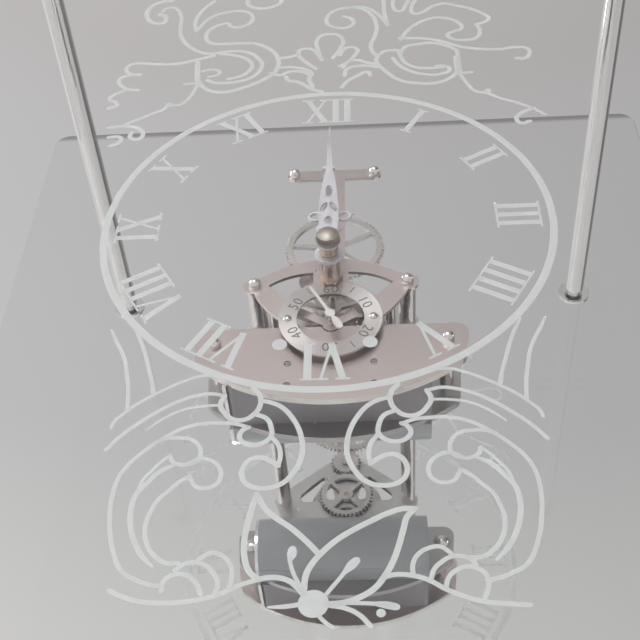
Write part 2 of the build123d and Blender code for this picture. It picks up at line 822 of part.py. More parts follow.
# Lower rear plate: a slightly smaller copy, with a window for the cell
with BuildPart() as lower_rear_plate:
    with BuildSketch(front_plane(lower_rear_depth)) as lower_rear_face:
        lower_plate_outline(lower_rear_half_width, lower_rear_side_x, lower_rear_side_z, lower_rear_bottom_z)
        fillet(lower_rear_face.vertices(), lower_corner)
        with Locations(((window_left + window_right) / 2, cell_z)):
            Rectangle(window_right - window_left, 2 * window_half, mode=Mode.SUBTRACT)
        with Locations((-lower_pillar_x, lower_pillar_z), (lower_pillar_x, lower_pillar_z)):
            Circle(stud_radius + fixed_fit, mode=Mode.SUBTRACT)
    extrude(amount=-plate_thickness)
keep(lower_rear_plate.part, "lower_rear_plate")


def housing_plane(x):
    """Plane square to the battery: its x is the depth, its y the height above the tub's axis."""
    return Plane((x, print_y, dial_z + housing_z), x_dir=(0, 1, 0), z_dir=(1, 0, 0))


def cell_plane(x):
    """Plane square to the battery, with its origin on the cell's own axis."""
    return Plane((x, print_y + cell_depth, dial_z + cell_z), x_dir=(0, 1, 0), z_dir=(1, 0, 0))


# Quartz module: a closed box behind the lower front plate, with a pocket for its drive pinion
pocket_reach = pitch_radius(drive_teeth, seconds_drive_module) + seconds_drive_module + side_play
pocket_back = seconds_wheel_depth + wheel_thickness + side_play
with BuildPart() as quartz_module:
    with BuildSketch(front_plane(lower_front_back)):
        with Locations((housing_middle, housing_bottom)):
            Rectangle(housing_length, module_top_z - housing_bottom, align=(Align.CENTER, Align.MIN))
    extrude(amount=-(rear_plate_back - lower_front_back))
    with BuildSketch(front_plane(rear_plate_back)):
        with Locations((housing_middle, housing_bottom)):
            Rectangle(housing_length, housing_top - housing_bottom, align=(Align.CENTER, Align.MIN))
    extrude(amount=-(lower_rear_depth - rear_plate_back))
    fillet(quartz_module.edges().filter_by(Axis.Y), module_corner)
    with BuildSketch(cell_plane(cell_left - cell_fit)):
        Circle(cell_radius + cell_fit)
    extrude(amount=cell_right - cell_left + 2 * cell_fit, mode=Mode.SUBTRACT)
    with BuildSketch(front_plane(lower_front_back)):
        with Locations((-module_screw_x, module_lug_z), (module_screw_x, module_lug_z)):
            Circle(module_lug_radius)
    extrude(amount=-module_lug_length)
    with BuildSketch(front_plane(lower_front_back)):
        with Locations((module_rib_x, housing_bottom)):
            Rectangle(module_rib_width, module_rib_height, align=(Align.CENTER, Align.MAX))
    extrude(amount=-(lower_rear_depth - lower_front_back))
    with BuildSketch(front_plane(lower_front_back)):
        with Locations((0, module_top_z)):
            Rectangle(2 * pocket_reach, module_top_z - drive_z + pocket_reach,
                      align=(Align.CENTER, Align.MAX))
    extrude(amount=-(pocket_back - lower_front_back), mode=Mode.SUBTRACT)
    with BuildSketch(front_plane(pocket_back)):
        with Locations((0, drive_z)):
            Circle(train_arbor_radius + running_fit)
    extrude(amount=-drive_bearing_length, mode=Mode.SUBTRACT)
    with BuildSketch(front_plane(lower_front_back)):
        with Locations(*module_screw_places):
            Circle(small_shank_radius + fixed_fit)
    extrude(amount=-module_lug_length, mode=Mode.SUBTRACT)
    with BuildSketch(front_plane(rear_plate_back)):
        with Locations((-tub_screw_x, tub_screw_z), (tub_screw_x, tub_screw_z)):
            Circle(small_shank_radius + fixed_fit)
    extrude(amount=-tub_wall, mode=Mode.SUBTRACT)
keep(quartz_module.part, "quartz_module")

sunk_head_front = lower_front_depth + sunk_head_gap
sunk_head_back = lower_front_depth + sunk_head_depth
module_screw_end = lower_front_back + module_lug_length - screw_fit
with BuildPart() as module_screws:
    for x, z in module_screw_places:
        add(turned(x, z, [
            (sunk_head_front, 0),
            (sunk_head_front, sunk_head_radius),
            (sunk_head_back, sunk_head_radius),
            (sunk_head_back, small_shank_radius),
            (module_screw_end, small_shank_radius),
            (module_screw_end, 0),
        ]))
    with BuildSketch(front_plane(sunk_head_front)):
        with Locations(*module_screw_places):
            Rectangle(2 * sunk_head_radius, sunk_slot_width)
    extrude(amount=-sunk_slot_depth, mode=Mode.SUBTRACT)
keep(module_screws.part, "module_screws")


def rounded_back(front, radius):
    """Box section from this depth, closed by a half round at the back."""
    with Locations((tub_middle_depth, 0)):
        Circle(radius)
    with Locations((front, 0)):
        Rectangle(tub_middle_depth - front, 2 * radius, align=(Align.MIN, Align.CENTER))
        Rectangle(2 * radius, 2 * radius, align=(Align.MAX, Align.CENTER), mode=Mode.SUBTRACT)


def back_sector(inner, outer, angle):
    """Part of a ring about the tub's axis, this many degrees to each side of straight back."""
    turn = radians(angle)
    with BuildLine() as outline:
        for radius, way in ((outer, 1), (inner, -1)):
            start = (tub_middle_depth + radius * cos(turn), -way * radius * sin(turn))
            end = (tub_middle_depth + radius * cos(turn), way * radius * sin(turn))
            ThreePointArc(start, (tub_middle_depth + radius, 0), end)
        for side in (-1, 1):
            Line((tub_middle_depth + inner * cos(turn), side * inner * sin(turn)),
                 (tub_middle_depth + outer * cos(turn), side * outer * sin(turn)))
    make_face(outline.edges())


# Battery tub: a trough with a half-round back, recessed for its cover
tub_inner_length = housing_length - 2 * tub_wall
with BuildPart() as battery_tub:
    with BuildSketch(housing_plane(housing_left)):
        rounded_back(lower_rear_back, housing_radius)
    extrude(amount=housing_length)
    with BuildSketch(housing_plane(housing_left)):
        back_sector(cover_seat_radius, housing_radius + cut_over, cover_angle + cover_gap_angle)
    extrude(amount=housing_length, mode=Mode.SUBTRACT)
    with BuildSketch(housing_plane(housing_left + tub_wall)):
        rounded_back(lower_rear_back, tub_inner_radius)
    extrude(amount=tub_inner_length, mode=Mode.SUBTRACT)
    with BuildSketch(housing_plane(housing_left + tub_wall)):
        back_sector(tub_inner_radius / 2, housing_radius, cover_opening_angle)
    extrude(amount=tub_inner_length, mode=Mode.SUBTRACT)
keep(battery_tub.part, "battery_tub")

# Battery cover: a curved strip that slides off sideways
with BuildPart() as battery_cover:
    with BuildSketch(housing_plane(housing_left)):
        back_sector(cover_seat_radius + cover_fit, housing_radius, cover_angle)
    extrude(amount=housing_length)
keep(battery_cover.part, "battery_cover")

# End clips: bright steel plates over the left ends of the module and the tub
with BuildPart() as end_clips:
    with BuildSketch(housing_plane(housing_left - clip_thickness)):
        with Locations((lower_front_back, housing_bottom - housing_z)):
            Rectangle(rear_plate_back - lower_front_back, module_top_z - housing_bottom, align=Align.MIN)
        with Locations((rear_plate_back, 0)):
            Rectangle(lower_rear_depth - rear_plate_back, 2 * housing_radius, align=(Align.MIN, Align.CENTER))
    extrude(amount=clip_thickness)
    with BuildSketch(housing_plane(housing_left - clip_thickness)):
        rounded_back(lower_rear_back, housing_radius)
    extrude(amount=clip_thickness)
keep(end_clips.part, "end_clips")

# AA cell and its two contacts
with BuildPart() as battery_cell:
    with BuildSketch(cell_plane(cell_left)):
        Circle(cell_radius)
    extrude(amount=cell_length)
    fillet(battery_cell.edges(), cell_edge)
    with BuildSketch(cell_plane(cell_left + cell_length)):
        Circle(cell_nub_radius)
    extrude(amount=cell_nub_length)
keep(battery_cell.part, "battery_cell")

with BuildPart() as battery_contacts:
    for x in (contact_right, housing_left + tub_wall):
        with BuildSketch(cell_plane(x)):
            Rectangle(contact_size, contact_size)
        extrude(amount=contact_thickness)
    with BuildSketch(cell_plane(housing_left + tub_wall)):
        Circle(cell_nub_radius)
    extrude(amount=cell_left - housing_left - tub_wall - cover_fit)
keep(battery_contacts.part, "battery_contacts")

# Minute arbor: a threaded stub, a collar for the hand, a shaft through the hour tube and a thin tail
hour_tube_back = hour_wheel_depth + wheel_thickness + side_play / 2
minute_hand_back = minute_hand_depth + hand_thickness
keep(turned(0, 0, [
    (nut_front + nut_cap, 0),
    (nut_front + nut_cap, arbor_stub_radius),
    (minute_hand_back, arbor_stub_radius),
    (minute_hand_back, arbor_collar_radius),
    (tube_front - side_play, arbor_collar_radius),
    (tube_front - side_play, arbor_radius),
    (hour_tube_back + side_play / 2, arbor_radius),
    (hour_tube_back + side_play / 2, arbor_tail_radius),
    (rear_wheel_back + side_play, arbor_tail_radius),
    (rear_wheel_back + side_play, 0),
]), "minute_arbor")

with BuildPart() as cannon_pinion:
    with BuildSketch(front_plane(cannon_depth)):
        with BuildLine():
            Polyline(*tooth_points(cannon_teeth, motion_module, 0, pinion_slim), close=True)
        make_face()
        Circle(arbor_tail_radius + fixed_fit, mode=Mode.SUBTRACT)
    extrude(amount=-pinion_length)
keep(cannon_pinion.part, "cannon_pinion")

keep(wheel(0, 0, centre_wheel_depth, centre_teeth, train_module, 0, arbor_tail_radius + fixed_fit, wheel_hub,
           spokes=5, spoke_angle=90), "centre_wheel")
keep(wheel(0, 0, rear_wheel_depth, rear_drive_teeth, upper_module, 0, arbor_tail_radius + fixed_fit,
           wheel_hub, spokes=4, spoke_angle=45), "rear_drive_wheel")

# Minute hand: a needle on a pierced, swelling body
with BuildPart() as minute_hand:
    with BuildSketch(front_plane(minute_hand_depth)):
        Circle(minute_hub_radius)
        Polygon((-needle_half, minute_step_z), (needle_half, minute_step_z),
                (needle_tip_half, minute_hand_length), (-needle_tip_half, minute_hand_length), align=None)
        with Locations((0, minute_step_z)):
            Rectangle(minute_step_width, minute_step_height)
        with BuildLine():
            ThreePointArc((needle_half, minute_step_z),
                          (minute_shoulder_half, (minute_step_z + minute_body_z) / 2),
                          (minute_body_half, minute_body_z))
            ThreePointArc((minute_body_half, minute_body_z), (minute_waist_half, minute_body_z / 2),
                          (minute_root_half, 0))
            Polyline((minute_root_half, 0), (0, 0), (0, minute_step_z), (needle_half, minute_step_z))
        make_face()
        mirror(about=Plane.YZ)
        with Locations((0, minute_eye_z)):
            Ellipse(minute_eye_half, minute_eye_reach, mode=Mode.SUBTRACT)
        with Locations((0, minute_drop_z)):
            Ellipse(minute_drop_half, minute_drop_reach, mode=Mode.SUBTRACT)
        for side in (-1, 1):
            with Locations((side * minute_leaf_x, minute_leaf_z)):
                Ellipse(minute_leaf_half, minute_leaf_reach, rotation=side * minute_leaf_turn,
                        mode=Mode.SUBTRACT)
        Circle(arbor_stub_radius + fixed_fit, mode=Mode.SUBTRACT)
    extrude(amount=-hand_thickness)
keep(minute_hand.part, "minute_hand")

# Hand nut: a low dome, a knurled band and a wider rim, on a narrower neck
knurl_front = nut_front + nut_dome
knurl_back = knurl_front + knurl_length
neck_front = knurl_back + nut_back_rim
nut_bore = arbor_stub_radius + fixed_fit
nut_bore_end = nut_front + nut_cap - fixed_fit
knurl_points = []
for number in range(2 * knurl_count):
    radius = knurl_radius - knurl_cut * (number % 2)
    turn = radians(number * 180 / knurl_count)
    knurl_points.append((radius * cos(turn), radius * sin(turn)))
with BuildPart() as hand_nut:
    with BuildSketch(arbor_plane(0, 0)):
        with BuildLine():
            TangentArc((nut_front, 0), (knurl_front, nut_dome_radius), tangent=(0, 1))
            Polyline((knurl_front, nut_dome_radius), (knurl_front, knurl_core),
                     (knurl_back, knurl_core), (knurl_back, nut_radius), (neck_front, nut_radius),
                     (neck_front, nut_neck_radius), (minute_hand_depth, nut_neck_radius),
                     (minute_hand_depth, nut_bore), (nut_bore_end, nut_bore), (nut_bore_end, 0),
                     (nut_front, 0))
        make_face()
    revolve(axis=arbor_axis(0, 0))
    with BuildSketch(front_plane(knurl_front)):
        with BuildLine():
            Polyline(*knurl_points, close=True)
        make_face()
        Circle(knurl_core, mode=Mode.SUBTRACT)
    extrude(amount=-knurl_length)
keep(hand_nut.part, "hand_nut")

# Hour tube, wheel and hand
keep(turned(0, 0, [
    (tube_front, arbor_radius + running_fit),
    (tube_front, tube_radius),
    (hour_tube_back, tube_radius),
    (hour_tube_back, arbor_radius + running_fit),
]), "hour_tube")
motion_phase = meshed_phase(motion_angle, cannon_teeth, 0, motion_teeth)
hour_phase = meshed_phase(motion_angle + 180, motion_pinion_teeth, 0, hour_teeth)
keep(wheel(0, 0, hour_wheel_depth, hour_teeth, hour_module, hour_phase, tube_radius + fixed_fit, hour_hub),
     "hour_wheel")

with BuildPart() as hour_hand:
    with BuildSketch(front_plane(hour_hand_depth)):
        Circle(hour_hub_radius)
        with BuildLine():
            ThreePointArc((needle_tip_half, hour_hand_length),
                          (hour_shoulder_half, (hour_hand_length + hour_body_z) / 2),
                          (hour_body_half, hour_body_z))
            ThreePointArc((hour_body_half, hour_body_z), (hour_waist_half, hour_body_z / 2),
                          (hour_root_half, 0))
            Polyline((hour_root_half, 0), (0, 0), (0, hour_hand_length), (needle_tip_half, hour_hand_length))
        make_face()
        mirror(about=Plane.YZ)
        with Locations((-petal_x, petal_z), (petal_x, petal_z)):
            Circle(petal_radius)
        for side in (-1, 1):
            Polygon((side * scroll_x, scroll_z - spur_half), (side * scroll_x, scroll_z + spur_half),
                    (side * spur_x, scroll_z + spur_rise), align=None)
        with Locations((-scroll_x, scroll_z), (scroll_x, scroll_z)):
            Circle(scroll_radius)
        with Locations((-scroll_x, scroll_z), (scroll_x, scroll_z)):
            Circle(scroll_radius - scroll_width, mode=Mode.SUBTRACT)
        with Locations((0, hour_eye_z)):
            Ellipse(hour_eye_half, hour_eye_reach, mode=Mode.SUBTRACT)
        Circle(tube_radius + fixed_fit, mode=Mode.SUBTRACT)
    extrude(amount=-hand_thickness)
keep(hour_hand.part, "hour_hand")

# Motion work: a wheel and pinion on a fixed stud bring twelve turns of the minute arbor down to one
motion_hub_back = motion_wheel_depth + wheel_thickness + side_play
leaves_back = motion_wheel_depth - side_play
with BuildPart() as motion_pinion:
    with BuildSketch(front_plane(hour_wheel_depth - side_play / 2, motion_x, motion_z)):
        with BuildLine():
            Polyline(*tooth_points(motion_pinion_teeth, hour_module, 0, pinion_slim), close=True)
        make_face()
    extrude(amount=-(leaves_back - hour_wheel_depth + side_play / 2))
    with BuildSketch(front_plane(leaves_back, motion_x, motion_z)):
        Circle(motion_hub_radius)
    extrude(amount=-(motion_hub_back - leaves_back))
    with BuildSketch(front_plane(hour_wheel_depth - side_play / 2, motion_x, motion_z)):
        Circle(train_arbor_radius + running_fit)
    extrude(amount=-(motion_hub_back - hour_wheel_depth + side_play / 2), mode=Mode.SUBTRACT)
keep(motion_pinion.part, "motion_pinion")
keep(wheel(motion_x, motion_z, motion_wheel_depth, motion_teeth, motion_module, motion_phase,
           motion_hub_radius + fixed_fit, motion_wheel_hub), "motion_wheel")

motion_stud_head = motion_hub_back + side_play / 2
keep(turned(motion_x, motion_z, [
    (front_plate_depth, 0),
    (front_plate_depth, train_arbor_radius),
    (motion_stud_head, train_arbor_radius),
    (motion_stud_head, motion_wheel_hub),
    (motion_stud_head + stud_head_length, motion_wheel_hub),
    (motion_stud_head + stud_head_length, 0),
]), "motion_stud")

# Third arbor with its wheel
third_bearing = bearing(0, 0, third_x, third_z)
third_pinion_phase = meshed_phase(third_bearing, centre_teeth, 0, third_pinion_teeth)
pinion_lead = (pinion_length - wheel_thickness) / 2
keep(pinion_arbor(third_x, third_z, bridge_depth, rear_plate_back, train_arbor_radius,
                  centre_wheel_depth - pinion_lead, pinion_length, third_pinion_teeth, train_module,
                  third_pinion_phase), "third_arbor")
keep(wheel(third_x, third_z, third_wheel_depth, third_teeth, third_module, 0, train_arbor_radius + fixed_fit,
           wheel_hub, spokes=5), "third_wheel")

# Seconds arbor with its wheel and hand
seconds_bearing = bearing(third_x, third_z, 0, seconds_z)
seconds_pinion_phase = meshed_phase(seconds_bearing, third_teeth, 0, seconds_pinion_teeth)
hand_bore_front = second_hand_depth + second_hand_thickness / 2
keep(pinion_arbor(0, seconds_z, hand_bore_front, rear_plate_back, train_arbor_radius,
                  third_wheel_depth - pinion_lead, pinion_length, seconds_pinion_teeth, third_module,
                  seconds_pinion_phase), "seconds_arbor")
keep(wheel(0, seconds_z, seconds_wheel_depth, seconds_wheel_teeth, seconds_drive_module, 0,
           train_arbor_radius + fixed_fit, wheel_hub, spokes=4, spoke_angle=45), "seconds_wheel")

with BuildPart() as second_hand:
    with BuildSketch(front_plane(second_hand_depth, 0, seconds_z, second_hand_angle)):
        Circle(second_hand_hub)
        Polygon((-second_hand_width / 2, -second_hand_tail), (second_hand_width / 2, -second_hand_tail),
                (second_hand_width / 2, 0), (second_hand_width / 4, second_hand_length),
                (-second_hand_width / 4, second_hand_length), (-second_hand_width / 2, 0), align=None)
        with Locations((0, -second_hand_tail)):
            SlotOverall(second_hand_tail, second_hand_tail_width, rotation=90)
    extrude(amount=-second_hand_thickness)
    with BuildSketch(front_plane(hand_bore_front, 0, seconds_z)):
        Circle(train_arbor_radius + fixed_fit)
    extrude(amount=-second_hand_thickness, mode=Mode.SUBTRACT)
keep(second_hand.part, "second_hand")

# Drive arbor of the quartz module
drive_phase = meshed_phase(-90, seconds_wheel_teeth, 0, drive_teeth)
keep(pinion_arbor(0, drive_z, seconds_wheel_depth - side_play, pocket_back + drive_bearing_length - side_play,
                  train_arbor_radius, seconds_wheel_depth, wheel_thickness, drive_teeth, seconds_drive_module,
                  drive_phase), "drive_arbor")

# Idler and the large spoked wheel above the movement
idler_phase = meshed_phase(90, rear_drive_teeth, 0, idler_teeth)
upper_phase = meshed_phase(90, idler_teeth, idler_phase, upper_teeth)
keep(wheel(0, idler_z, rear_wheel_depth, idler_teeth, upper_module, idler_phase,
           stud_shaft_radius + running_fit, wheel_hub), "idler_wheel")
keep(wheel(0, upper_z, rear_wheel_depth, upper_teeth, upper_module, upper_phase,
           stud_shaft_radius + running_fit, upper_hub, spokes=5, spoke_angle=upper_spoke_angle),
     "upper_wheel")
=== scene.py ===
from math import cos, radians, sin

import bpy
from mathutils import Matrix, Vector


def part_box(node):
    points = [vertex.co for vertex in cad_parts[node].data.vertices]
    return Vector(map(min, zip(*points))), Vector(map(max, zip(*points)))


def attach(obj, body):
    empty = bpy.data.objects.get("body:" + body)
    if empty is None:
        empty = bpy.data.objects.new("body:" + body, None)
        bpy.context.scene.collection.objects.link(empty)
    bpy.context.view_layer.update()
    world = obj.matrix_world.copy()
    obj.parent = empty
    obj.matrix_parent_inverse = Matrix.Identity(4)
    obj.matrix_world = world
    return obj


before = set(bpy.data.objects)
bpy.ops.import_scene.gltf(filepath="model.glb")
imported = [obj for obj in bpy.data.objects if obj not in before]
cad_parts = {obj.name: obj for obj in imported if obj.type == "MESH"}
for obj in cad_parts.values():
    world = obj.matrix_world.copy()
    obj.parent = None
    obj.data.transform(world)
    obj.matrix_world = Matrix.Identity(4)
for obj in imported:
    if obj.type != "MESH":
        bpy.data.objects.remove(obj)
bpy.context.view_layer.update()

# Mirror panel: silvered float glass that closes the back and carries the movement on two pillars.
# Its silver carries a painted dark band of shade along the top edge, and the back has a coat of grey paint.
mirror_low, mirror_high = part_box("mirror_panel")
rim_shade_width = 0.0016
rim_shade_fade = 0.0032
face_skin = 0.0002


def new_finish(name):
    """Empty finish: the material, its nodes, its links and its shader."""
    finish = bpy.data.materials.new(name)
    finish.use_nodes = True
    nodes = finish.node_tree.nodes
    return finish, nodes, finish.node_tree.links, nodes["Principled BSDF"]


def dress(finish, *names):
    """Give CAD nodes this finish."""
    for name in names:
        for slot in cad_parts[name].material_slots:
            slot.material = finish


def make_grain_group():
    """Fine uneven surface: two tints, a roughness and a height from stretched noise."""
    group = bpy.data.node_groups.new("fine_grain", "ShaderNodeTree")
    face = group.interface
    for name, kind in (("Stretch", "NodeSocketVector"), ("Scale", "NodeSocketFloat"),
                       ("Tint A", "NodeSocketColor"), ("Tint B", "NodeSocketColor"),
                       ("Smooth", "NodeSocketFloat"), ("Rough", "NodeSocketFloat")):
        face.new_socket(name, in_out="INPUT", socket_type=kind)
    for name, kind in (("Color", "NodeSocketColor"), ("Roughness", "NodeSocketFloat"),
                       ("Height", "NodeSocketFloat")):
        face.new_socket(name, in_out="OUTPUT", socket_type=kind)
    nodes, links = group.nodes, group.links
    taken = nodes.new("NodeGroupInput")
    given = nodes.new("NodeGroupOutput")
    place = nodes.new("ShaderNodeTexCoord")
    stretch = nodes.new("ShaderNodeVectorMath")
    stretch.operation = "MULTIPLY"
    links.new(place.outputs["Object"], stretch.inputs[0])
    links.new(taken.outputs["Stretch"], stretch.inputs[1])
    noise = nodes.new("ShaderNodeTexNoise")
    noise.inputs["Detail"].default_value = 4.0
    links.new(stretch.outputs["Vector"], noise.inputs["Vector"])
    links.new(taken.outputs["Scale"], noise.inputs["Scale"])
    tint = nodes.new("ShaderNodeMix")
    tint.data_type = "RGBA"
    links.new(noise.outputs["Fac"], tint.inputs["Factor"])
    links.new(taken.outputs["Tint A"], tint.inputs["A"])
    links.new(taken.outputs["Tint B"], tint.inputs["B"])
    spread = nodes.new("ShaderNodeMapRange")
    spread.inputs["From Min"].default_value = 0.25
    spread.inputs["From Max"].default_value = 0.75
    links.new(noise.outputs["Fac"], spread.inputs["Value"])
    links.new(taken.outputs["Smooth"], spread.inputs["To Min"])
    links.new(taken.outputs["Rough"], spread.inputs["To Max"])
    links.new(tint.outputs["Result"], given.inputs["Color"])
    links.new(spread.outputs["Result"], given.inputs["Roughness"])
    links.new(noise.outputs["Fac"], given.inputs["Height"])
    return group


grain_group = make_grain_group()
bump_distance = 0.0001


def add_grain(nodes, scale, tint_a, tint_b, smooth, rough, stretch=(1, 1, 1)):
    """Place the fine grain in a finish with its own values."""
    grain = nodes.new("ShaderNodeGroup")
    grain.node_tree = grain_group
    grain.inputs["Stretch"].default_value = stretch
    grain.inputs["Scale"].default_value = scale
    grain.inputs["Tint A"].default_value = (*tint_a, 1.0)
    grain.inputs["Tint B"].default_value = (*tint_b, 1.0)
    grain.inputs["Smooth"].default_value = smooth
    grain.inputs["Rough"].default_value = rough
    return grain


def add_bump(nodes, links, shader, height, strength, distance):
    """Feed a height to the shader's normal."""
    bump = nodes.new("ShaderNodeBump")
    bump.inputs["Strength"].default_value = strength
    bump.inputs["Distance"].default_value = distance
    links.new(height, bump.inputs["Height"])
    links.new(bump.outputs["Normal"], shader.inputs["Normal"])


def grained_finish(name, scale, tint_a, tint_b, smooth, rough, metallic, strength=0.0, stretch=(1, 1, 1)):
    """Finish whose colour, roughness and bump all come from the fine grain."""
    finish, nodes, links, shader = new_finish(name)
    grain = add_grain(nodes, scale, tint_a, tint_b, smooth, rough, stretch)
    shader.inputs["Metallic"].default_value = metallic
    links.new(grain.outputs["Color"], shader.inputs["Base Color"])
    links.new(grain.outputs["Roughness"], shader.inputs["Roughness"])
    if strength:
        add_bump(nodes, links, shader, grain.outputs["Height"], strength, bump_distance)
    return finish


def threshold(nodes, links, value, operation, limit):
    """Mask that is one where the value passes the limit."""
    test = nodes.new("ShaderNodeMath")
    test.operation = operation
    test.inputs[1].default_value = limit
    links.new(value, test.inputs[0])
    return test.outputs["Value"]


def blended(nodes, links, factor, first, second):
    """Colour between two others."""
    mix = nodes.new("ShaderNodeMix")
    mix.data_type = "RGBA"
    links.new(factor, mix.inputs["Factor"])
    links.new(first, mix.inputs["A"])
    links.new(second, mix.inputs["B"])
    return mix.outputs["Result"]


def mirror_finish():
    """Silver on the front face, darkened under the top edge as painted shade, paint on the back and dark
    glass on the cut edges.
    """
    finish, nodes, links, shader = new_finish("silvered_mirror")
    place = nodes.new("ShaderNodeTexCoord")
    axes = nodes.new("ShaderNodeSeparateXYZ")
    links.new(place.outputs["Object"], axes.inputs["Vector"])
    front = threshold(nodes, links, axes.outputs["Y"], "LESS_THAN", mirror_low[1] + face_skin)
    painted = threshold(nodes, links, axes.outputs["Y"], "GREATER_THAN", mirror_high[1] - face_skin)
    # Painted shade: the silver darkens in a soft band just below the top edge.
    rim_shade_mask = nodes.new("ShaderNodeMapRange")
    rim_shade_mask.interpolation_type = "SMOOTHSTEP"
    rim_shade_mask.inputs["From Min"].default_value = mirror_high[2] - rim_shade_width
    rim_shade_mask.inputs["From Max"].default_value = mirror_high[2] - rim_shade_width - rim_shade_fade
    links.new(axes.outputs["Z"], rim_shade_mask.inputs["Value"])
    rim = add_grain(nodes, scale=30.0, tint_a=(0.44, 0.435, 0.435), tint_b=(0.48, 0.475, 0.475),
                    smooth=0.0, rough=0.01)
    haze = add_grain(nodes, scale=9.0, tint_a=(0.93, 0.93, 0.935), tint_b=(0.95, 0.945, 0.945),
                     smooth=0.0, rough=0.01)
    edge = add_grain(nodes, scale=30.0, tint_a=(0.12, 0.12, 0.12), tint_b=(0.16, 0.155, 0.15),
                     smooth=0.45, rough=0.6)
    paint = add_grain(nodes, scale=90.0, tint_a=(0.40, 0.40, 0.395), tint_b=(0.45, 0.445, 0.44),
                      smooth=0.5, rough=0.65)
    silver = blended(nodes, links, rim_shade_mask.outputs["Result"], rim.outputs["Color"], haze.outputs["Color"])
    coat = blended(nodes, links, painted, edge.outputs["Color"], paint.outputs["Color"])
    links.new(blended(nodes, links, front, coat, silver), shader.inputs["Base Color"])
    links.new(front, shader.inputs["Metallic"])
    rough = nodes.new("ShaderNodeMix")
    links.new(front, rough.inputs["Factor"])
    links.new(paint.outputs["Roughness"], rough.inputs["A"])
    links.new(haze.outputs["Roughness"], rough.inputs["B"])
    links.new(rough.outputs["Result"], shader.inputs["Roughness"])
    return finish


dress(mirror_finish(), "mirror_panel")

# Corner standoffs and cap screws: polished chrome bars that hold the two panes apart.
# The domed caps screw into both ends from outside.


def case_chrome():
    """Chrome that is clear from inside, so that a cap does not turn black where it touches the glass."""
    finish = grained_finish("case_chrome", scale=60.0, tint_a=(0.80, 0.79, 0.79),
                            tint_b=(0.86, 0.855, 0.85), smooth=0.04, rough=0.09, metallic=1.0)
    nodes, links = finish.node_tree.nodes, finish.node_tree.links
    side = nodes.new("ShaderNodeNewGeometry")
    inside = nodes.new("ShaderNodeBsdfTransparent")
    blend = nodes.new("ShaderNodeMixShader")
    links.new(side.outputs["Backfacing"], blend.inputs["Fac"])
    links.new(nodes["Principled BSDF"].outputs["BSDF"], blend.inputs[1])
    links.new(inside.outputs["BSDF"], blend.inputs[2])
    links.new(blend.outputs["Shader"], nodes["Material Output"].inputs["Surface"])
    return finish


chrome = case_chrome()
dress(chrome, "standoff_upper_left", "standoff_upper_right", "standoff_lower_left", "standoff_lower_right",
      "front_cap_screws", "rear_cap_screws")

# Edge feet: soft grey rubber shoes pushed over the lower edges of both panes.
# The clock stands on them.
foot_rubber = grained_finish("foot_rubber", scale=900.0, tint_a=(0.42, 0.42, 0.42),
                             tint_b=(0.50, 0.50, 0.49), smooth=0.6, rough=0.8, metallic=0.0, strength=0.2)
dress(foot_rubber, "edge_feet")

# Pillars, ball nuts and larger screws: turned steel, polished bright.
# The ear pillars run back to the mirror panel, the short ones hold the plates apart.
polished = grained_finish("polished_steel", scale=300.0, tint_a=(0.74, 0.70, 0.69),
                          tint_b=(0.82, 0.79, 0.78), smooth=0.06, rough=0.16, metallic=1.0,
                          stretch=(1, 8, 1))
dress(polished, "ear_pillar_front_left", "ear_pillar_front_right", "ear_pillar_rear_left",
      "ear_pillar_rear_right", "lower_pillar_left", "lower_pillar_right", "bridge_pillars", "ball_nuts",
      "rear_screws")
small_screw = grained_finish("small_screws", scale=500.0, tint_a=(0.55, 0.52, 0.51),
                             tint_b=(0.68, 0.65, 0.64), smooth=0.12, rough=0.25, metallic=1.0)
dress(small_screw, "ring_screws", "plate_screws", "module_screws")

# Movement plates and bridges: satin nickel with a rosy cast and hardly any grain.
# They are sawn from flat sheet, their square edges polished bright; the rear plate is greyer, and the lower
# rear plate is darker as painted shade.
sawn_limit = 0.5


def sheet_plate(name, tint_a, tint_b):
    """Satin sheet metal that is polished on its sawn edges."""
    finish, nodes, links, shader = new_finish(name)
    shader.inputs["Metallic"].default_value = 1.0
    face = add_grain(nodes, scale=45.0, tint_a=tint_a, tint_b=tint_b, smooth=0.27, rough=0.3)
    edge = add_grain(nodes, scale=45.0, tint_a=(0.72, 0.69, 0.65), tint_b=(0.76, 0.73, 0.69), smooth=0.14,
                     rough=0.2)
    facing = nodes.new("ShaderNodeNewGeometry")
    axes = nodes.new("ShaderNodeSeparateXYZ")
    links.new(facing.outputs["True Normal"], axes.inputs["Vector"])
    forward = nodes.new("ShaderNodeMath")
    forward.operation = "ABSOLUTE"
    links.new(axes.outputs["Y"], forward.inputs[0])
    sawn = threshold(nodes, links, forward.outputs["Value"], "LESS_THAN", sawn_limit)
    tint = blended(nodes, links, sawn, face.outputs["Color"], edge.outputs["Color"])
    links.new(tint, shader.inputs["Base Color"])
    rough = nodes.new("ShaderNodeMix")
    links.new(sawn, rough.inputs["Factor"])
    links.new(face.outputs["Roughness"], rough.inputs["A"])
    links.new(edge.outputs["Roughness"], rough.inputs["B"])
    links.new(rough.outputs["Result"], shader.inputs["Roughness"])
    return finish


lower_satin = sheet_plate("rosy_satin_plate", (0.592, 0.519, 0.505), (0.625, 0.548, 0.534))
dress(lower_satin, "lower_front_plate")
# Painted light: the front plate and bridges get a lighter copy of the same satin as the lower front plate.
lit_satin = sheet_plate("lit_satin_plate", (0.645, 0.565, 0.55), (0.68, 0.596, 0.58))
dress(lit_satin, "front_plate", "train_bridge", "upper_bridge")
rear_satin = sheet_plate("grey_satin_plate", (0.585, 0.575, 0.565), (0.625, 0.615, 0.605))
dress(rear_satin, "rear_plate")
# Painted shade: the lower rear plate gets a darker, duller copy of the satin.
shaded_satin = grained_finish("shaded_satin_plate", scale=45.0, tint_a=(0.42, 0.397, 0.402),
                            tint_b=(0.455, 0.43, 0.434), smooth=0.3, rough=0.34, metallic=1.0)
dress(shaded_satin, "lower_rear_plate")
